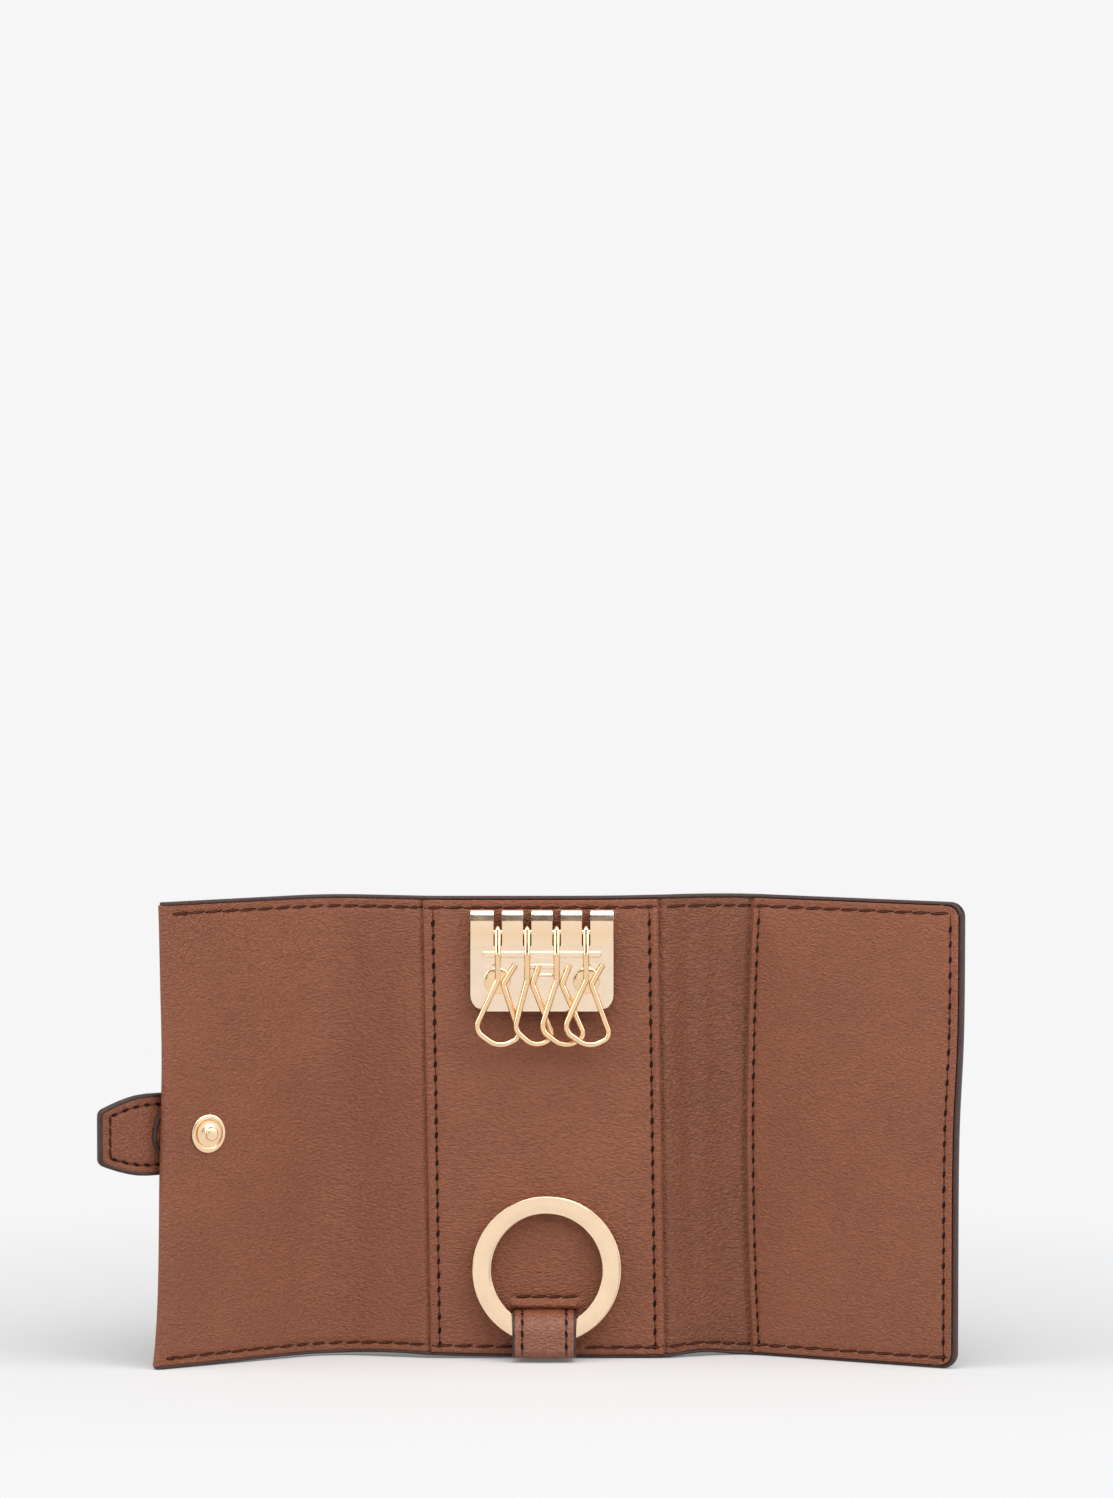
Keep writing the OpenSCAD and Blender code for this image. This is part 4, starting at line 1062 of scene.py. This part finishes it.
def build_plate():
    slots = [(i - 1.5) * HOOK_PITCH for i in range(4)]
    bm = plate_sheet(slots)
    for x, z, long, high, deep in RIBS:
        rib = bmesh.new()
        centre = Matrix.Translation(at_back(PLATE_X + x, PLATE_FACE - deep / 2 + 0.25, z))
        bmesh.ops.create_cube(rib, size=MM, matrix=centre @ Matrix.Diagonal((long, deep + 0.5, high, 1)))
        bmesh.ops.bevel(rib, geom=rib.edges[:], offset=0.34 * MM, segments=4, profile=0.5, affect="EDGES",
                        material=-1)
        join(bm, rib)
    for x in (-RIVET_X, RIVET_X):
        post = lathe([(0, 0), (1.9, 0), (1.9, 2.5), (0, 2.5)], 32)
        join(bm, lay_at(post, at_back(PLATE_X + x, -1.25, RIVET_Z), "-Y"))
    starts = [-PLATE_W / 2, *(s + SLOT_HALF for s in slots)]
    for start, end in zip(starts, [*(s - SLOT_HALF for s in slots), PLATE_W / 2]):
        long = end - start
        knuckle = lathe([(0.68, 0), (1.12, 0), (1.12, long), (0.68, long), (0.68, 0)], 32)
        join(bm, lay_at(knuckle, at_back(PLATE_X + start, AXLE_Y, AXLE_Z), "X"))
    add_piece(bm, "hook_plate", "plate_gold", "back", "key_plate", sharp=30)
    bm = bmesh.new()
    for x in (-RIVET_X, RIVET_X):
        head = lathe([(0, 0), (2.95, 0), *arc(2.77, 0.2, 0.18, -80, 60, 5), (2.5, 0.44), (2.0, 0.58), (1.4, 0.66),
                      (0.7, 0.7), (0, 0.71)])
        join(bm, lay_at(head, at_back(PLATE_X + x, PLATE_FACE + 0.02, RIVET_Z), "-Y"))
    add_piece(bm, "plate_rivet_heads", "pale_gold", "back", "plate_rivets", sharp=50)
    rod = lathe([(0, 0), (0.5, 0), (0.6, 0.1), (0.6, PLATE_W - 0.1), (0.5, PLATE_W), (0, PLATE_W)], 24)
    add_piece(lay_at(rod, at_back(PLATE_X - PLATE_W / 2, AXLE_Y, AXLE_Z), "X"), "hook_pin", "pale_gold", "back",
              "hook_axle")


def rounded_path(corners, count=8):
    """Points of a bent wire through corners of (place, bend radius)."""
    points = [corners[0][0]]
    for (a, _), (b, radius), (c, _) in zip(corners, corners[1:], corners[2:]):
        u, v = (b - a).normalized(), (c - b).normalized()
        angle = u.angle(v)
        start = b - u * radius * tan(angle / 2)
        n = (v - u * u.dot(v)).normalized()
        points += [start + n * radius * (1 - cos(t)) + u * radius * sin(t) for t in steps(0, angle, count)]
    return points + [corners[-1][0]]


def wire(name, points, thickness):
    """A round wire along points in millimetres."""
    curve = bpy.data.curves.new(name, "CURVE")
    curve.dimensions = "3D"
    curve.bevel_depth, curve.bevel_resolution, curve.use_fill_caps = thickness / 2 * MM, 4, True
    spline = curve.splines.new("POLY")
    spline.points.add(len(points) - 1)
    for slot, p in zip(spline.points, points):
        slot.co = (*(p * MM), 1)
    obj = new_object(name, curve)
    bpy.context.view_layer.update()
    mesh = bpy.data.meshes.new_from_object(obj.evaluated_get(bpy.context.evaluated_depsgraph_get()))
    bm = bmesh.new()
    bm.from_mesh(mesh)
    bpy.data.objects.remove(obj)
    bpy.data.curves.remove(curve)
    bpy.data.meshes.remove(mesh)
    close_shell(bm)
    return bm


def build_hooks():
    width, reach, turn, shank_y = 9.8, 24.4, radians(13), -2.75
    for number, (left, right, tip) in enumerate(LOOPS, 1):
        shares = [(0, 0.424, 0.16), (-left, 0.862, 0.27), ((right - left) / 2 + 0.03, 1.03, 0.44 * (left + right)),
                  (right, 0.935, 0.18), (0.125, 0.46, 0.1), (tip, 0.287, 0)]
        corners = [(Vector((0, -1.25, 0.5)), 0), (Vector((0, -2.2, -2.6)), 4), (Vector((0, shank_y, -4.6)), 3)]
        corners += [(Vector((x * width * cos(turn), x * width * sin(turn) + shank_y, -d * reach)), r * width)
                    for x, d, r in shares]
        origin = Vector((BACK_X + PLATE_X + (number - 2.5) * HOOK_PITCH, BACK_Y + AXLE_Y, AXLE_Z))
        bm = wire("hook_wire", [origin + p for p in rounded_path(corners)], sizes().wire)
        eye = [(0.64, -0.4), (0.72, -0.5), (1.15, -0.52), *arc(1.15, 0, 0.52, -75, 75, 8), (0.72, 0.5), (0.64, 0.4),
               (0.64, -0.4)]
        join(bm, lay_at(lathe(eye, 36), origin * MM, "X"))
        add_piece(bm, f"key_hook_{number}", "pale_gold", f"hook_{number}", f"hook_{number}", sharp=60)


# --- strap and ring

STRAP_X, STRAP_W, PIVOT_Y, PIVOT_Z, LOOP_R, STRAP_T, STRAP_ROW_X = -0.55, 14.0, -4.75, 6.2, 3.5, 1.1, 4.8
STRAP_RIM = STRAP_W / 2 - 0.12
RING_R, HOLE_R, COIL, GAP, COIL_SHIFT, RING_LIFT = 16.12, 12.35, 0.8, 0.45, 0.18, 0.5


def strap_line():
    """The strap's outer face as [y, z], from behind the facing out of the slit, down and back at the foot."""
    outer, bend = LOOP_R + STRAP_T, 1.98
    front = PIVOT_Y - outer
    line = [(y, PIVOT_Z + outer) for y in (-0.4, -1.6, -3.2)]
    line += [(PIVOT_Y - outer * sin(a), PIVOT_Z + outer * cos(a)) for a in steps(0, pi / 2, 16)]
    line += [(front, z) for z in steps(PIVOT_Z, 3.0, 4)[1:]]
    line += [(front + bend - bend * cos(a), 1 + bend - bend * sin(a)) for a in steps(0, pi / 2, 8)]
    return line + [(y, 1.0) for y in steps(front + bend, -0.4, 4)[1:]]


def build_strap():
    line = strap_line()

    def normal(i):
        a, b = line[max(0, i - 1)], line[min(len(line) - 1, i + 1)]
        way = Vector((b[0] - a[0], b[1] - a[1])).normalized()
        return Vector((-way.y, way.x))

    def under(x, i, depth):
        """A point a depth below the strap's face."""
        (y, z), n = line[i], normal(i)
        return at_back(STRAP_X + x, y + n.x * depth, z + n.y * depth)

    def place(u, i):
        down = 0.2 * bell(abs(u) - STRAP_ROW_X, 0.45) + 0.2 * fade(STRAP_RIM - abs(u), 0.35)
        return under(u, i, down - 0.1 * (1 - (u / STRAP_RIM) ** 2))

    bm = grid(graded(-STRAP_RIM, STRAP_RIM, 1.2, (-STRAP_ROW_X, STRAP_ROW_X), 1.2, 0.24), range(len(line)), place)
    look_at(bm, at_back(0, PIVOT_Y - 4.6, 5), FORWARD)
    thicken(bm, STRAP_T - 0.05, 0.15)
    add_piece(bm, "strap_leather", "strap_leather", "back", "ring_strap")
    bm = bmesh.new()
    for side in (-1, 1):
        edge = grid(range(len(line)), steps(0, tau, 12),
                    lambda i, angle: under(side * (STRAP_RIM - 0.28 + 0.38 * sin(angle)), i,
                                           STRAP_T / 2 + (STRAP_T / 2 - 0.02) * cos(angle)))
        close_shell(edge)
        join(bm, edge)
    add_piece(bm, "strap_edges", "painted_edge", "back", sharp=60)
    lengths = [0.0]
    for a, b in zip(line, line[1:]):
        lengths.append(lengths[-1] + dist(a, b))

    def along_strap(x, s, out):
        k = max(i for i in range(len(line) - 1) if lengths[i] <= s or i == 0)
        t = (s - lengths[k]) / (lengths[k + 1] - lengths[k])
        p = Vector(line[k]).lerp(Vector(line[k + 1]), t) - normal(k).lerp(normal(k + 1), t) * out
        return at_back(STRAP_X + x, p.x, p.y)

    seam = new_seam()
    for x in (-STRAP_ROW_X, STRAP_ROW_X):
        sew(seam, (x, 3.0), (x, 16.8), lambda u, v: (-0.14, 1), along_strap, STRAP_PITCH, True)
    add_seam(seam, "strap", "back")


def build_ring():
    """One flat ribbon wound twice, stepping over at the jog."""
    lift, jog_at, jog, first, round_r = (COIL + GAP) / 2, 270, 30, 17, 0.2
    depth = RING_R - sqrt(HOLE_R ** 2 - (STRAP_W / 2) ** 2)
    pivot = RING_R - depth / 2
    lean = asin((LOOP_R + 0.05 - (2 * COIL + GAP) / 2 - 0.3) / (pivot + RING_R))
    section = []
    for x, y, a in ((HOLE_R + round_r, -1, 180), (RING_R - round_r, -1, 270), (RING_R - round_r, 1, 0),
                    (HOLE_R + round_r, 1, 90)):
        section += arc(x, y * (COIL / 2 - round_r), round_r, a, a + 90, 4)
    section.append(section[0])

    def place(a, k):
        t = clamp((a - 360) / jog + 0.5)
        level = (2 * t * t * (3 - 2 * t) - 1) * lift
        r, y = section[k]
        angle = radians(a + jog_at)
        return Vector((r * cos(angle) - COIL_SHIFT * level / lift, y - level, r * sin(angle))) * MM

    bm = grid(steps(first, 720 - first, 220), range(len(section)), place)
    close_shell(bm)
    put(bm, Matrix.Translation(at_back(0, PIVOT_Y, PIVOT_Z)) @ Matrix.Rotation(-lean, 4, "X")
        @ Matrix.Translation((0, 0, (pivot + RING_LIFT) * MM)))
    add_piece(bm, "key_ring", "ring_gold", "ring", "split_ring", sharp=40)


# --- stage

BACKDROP = 0.922
LAMP_SIZE, LAMP_TARGET = 0.9, Vector((0, 0, 0.06))
LAMPS = {"left_light": ((-0.72, -0.24, 0.5), 4.8), "right_light": ((0.7, -0.32, 0.52), 4.5),
         "top_light": ((0.08, -0.46, 0.84), 5.7)}
LENS, CAMERA_PLACE, CAMERA_DIP = 177.48, (0.00545, -1.6, 0.23522), 3.612


def build_floor():
    """A pale floor that fades into the backdrop for the camera, mirrors and glass, and still takes the shadow."""
    bm = bmesh.new()
    bmesh.ops.create_grid(bm, x_segments=1, y_segments=1, size=6)
    floor = new_object("floor", new_mesh(bm, "floor"))
    mat, tree, blend = new_material("pale_floor", "ShaderNodeMixShader")
    distance = add_node(tree, "ShaderNodeVectorMath", {0: coordinates(tree)}, operation="LENGTH").outputs["Value"]
    away = add_node(tree, "ShaderNodeMapRange", {
        "Value": distance, "From Min": 0.06, "From Max": 0.3, "To Min": 0.12, "To Max": 1,
    }, interpolation_type="SMOOTHSTEP").outputs["Result"]
    rays = add_node(tree, "ShaderNodeLightPath").outputs
    seen = maths(tree, "MAXIMUM", rays["Is Camera Ray"], rays["Is Glossy Ray"])
    seen = maths(tree, "MAXIMUM", seen, rays["Is Transmission Ray"])
    diffuse = add_node(tree, "ShaderNodeBsdfDiffuse", {"Color": rgba(0.735)})
    glow = add_node(tree, "ShaderNodeEmission", {"Color": rgba(BACKDROP)})
    feed(blend, {0: maths(tree, "MULTIPLY", seen, away), 1: diffuse.outputs[0], 2: glow.outputs[0]})
    floor.data.materials.append(mat)


def build_world():
    """The backdrop for the camera, a tent with dark bands for the metal to mirror, and a dim room for the rest."""
    world = bpy.data.worlds.new("studio")
    bpy.context.scene.world = world
    world.use_nodes = True
    tree = world.node_tree
    tree.nodes.clear()
    way = add_node(tree, "ShaderNodeSeparateXYZ", {0: coordinates(tree, "Generated")}).outputs
    walls = ramp(tree, maths(tree, "ABSOLUTE", way["X"]),
                 [(0.4, 1), (0.95, 0.9), (0.5, 0.08), (0.72, 0.08), (0.82, 1)])
    ceiling = ramp(tree, way["Z"], [(0.3, 1), (0.58, 1), (0.34, 0.06), (0.48, 0.06)])
    tent, room, seen = (
        add_node(tree, "ShaderNodeBackground", {"Color": colour}).outputs[0]
        for colour in (mix_colours(tree, "MULTIPLY", 1, walls, ceiling), ramp(tree, way["Z"], [(0, 0.1), (1, 0.32)]),
                       rgba(BACKDROP)))
    rays = add_node(tree, "ShaderNodeLightPath").outputs
    last = room
    for kind, light in (("Is Glossy Ray", tent), ("Is Camera Ray", seen), ("Is Transmission Ray", seen)):
        last = add_node(tree, "ShaderNodeMixShader", {0: rays[kind], 1: last, 2: light}).outputs[0]
    add_node(tree, "ShaderNodeOutputWorld", {0: last})


def build_stage():
    scene = bpy.context.scene
    scene.view_settings.view_transform = "Standard"
    build_floor()
    build_world()
    for name, (place, power) in LAMPS.items():
        light = bpy.data.lights.new(name, "AREA")
        light.shape, light.size, light.energy = "DISK", LAMP_SIZE, power
        lamp = new_object(name, light)
        lamp.location, lamp.rotation_mode = place, "QUATERNION"
        lamp.rotation_quaternion = (LAMP_TARGET - Vector(place)).to_track_quat("-Z", "Y")
    camera = new_object("camera", bpy.data.cameras.new("camera"))
    camera.data.lens = LENS
    camera.data.clip_start, camera.data.clip_end = 0.05, 20
    camera.location = CAMERA_PLACE
    camera.rotation_euler = (radians(90 - CAMERA_DIP), 0, 0)
    scene.camera = camera


# --- operators


class KeyCaseOperator:
    bl_options = {"REGISTER", "UNDO"}
    makers = ()

    def execute(self, context):
        for maker in self.makers:
            maker()
        return {"FINISHED"}


class BuildLinings(KeyCaseOperator, bpy.types.Operator):
    """Makes the linings, the facing and the slip pocket"""

    bl_idname = "key_case.linings"
    bl_label = "Linings, Facing and Pocket"
    makers = (build_left_lining, build_right_lining, build_facing, build_pocket)


class BuildShell(KeyCaseOperator, bpy.types.Operator):
    """Makes the outer leather and its painted edges"""

    bl_idname = "key_case.shell"
    bl_label = "Outer Leather and Edges"
    makers = (build_shell, build_edges)


class BuildStitches(KeyCaseOperator, bpy.types.Operator):
    """Sews the seams"""

    bl_idname = "key_case.stitches"
    bl_label = "Stitches"
    makers = (build_stitches,)


class BuildTab(KeyCaseOperator, bpy.types.Operator):
    """Makes the snap tab, its keeper and the snap"""

    bl_idname = "key_case.tab"
    bl_label = "Tab and Snap"
    makers = (build_tab, build_snap)


class BuildPlate(KeyCaseOperator, bpy.types.Operator):
    """Makes the hook plate, its rivets and the hooks"""

    bl_idname = "key_case.plate"
    bl_label = "Hook Plate and Hooks"
    makers = (build_plate, build_hooks)


class BuildRing(KeyCaseOperator, bpy.types.Operator):
    """Makes the ring strap and the split ring"""

    bl_idname = "key_case.ring"
    bl_label = "Strap and Split Ring"
    makers = (build_strap, build_ring)


class BuildStage(KeyCaseOperator, bpy.types.Operator):
    """Makes the floor, the light and the camera"""

    bl_idname = "key_case.stage"
    bl_label = "Floor, Light and Camera"
    makers = (build_stage,)


class KeyCasePanel(bpy.types.Panel):
    """Lists the parts of the key case"""

    bl_idname = "VIEW3D_PT_key_case"
    bl_label = "Key Case"
    bl_space_type = "VIEW_3D"
    bl_region_type = "UI"
    bl_category = "Key Case"

    def draw(self, context):
        layout = self.layout
        for settings in (context.scene.key_case_sizes, context.scene.key_case_colours):
            for name in settings.bl_rna.properties.keys():
                if name not in ("rna_type", "name"):
                    layout.prop(settings, name)
        for operator in OPERATORS:
            layout.operator(operator.bl_idname)


OPERATORS = (BuildStage, BuildLinings, BuildShell, BuildStitches, BuildTab, BuildPlate, BuildRing)
CLASSES = (CaseSizes, CaseColours, *OPERATORS, KeyCasePanel)


def register():
    for cls in CLASSES:
        bpy.utils.register_class(cls)
    bpy.types.Scene.key_case_sizes = bpy.props.PointerProperty(type=CaseSizes)
    bpy.types.Scene.key_case_colours = bpy.props.PointerProperty(type=CaseColours)


def unregister():
    del bpy.types.Scene.key_case_sizes
    del bpy.types.Scene.key_case_colours
    for cls in reversed(CLASSES):
        bpy.utils.unregister_class(cls)


def main():
    register()
    bpy.ops.key_case.stage()
    bpy.ops.key_case.linings()
    bpy.ops.key_case.shell()
    bpy.ops.key_case.stitches()
    bpy.ops.key_case.tab()
    bpy.ops.key_case.plate()
    bpy.ops.key_case.ring()
    for name in ("rivet_washers", "socket_eyelet"):
        materials = frame["nodes"][name].data.materials
        materials.clear()
        materials.append(finish("pale_gold"))


if __name__ == "__main__":
    main()
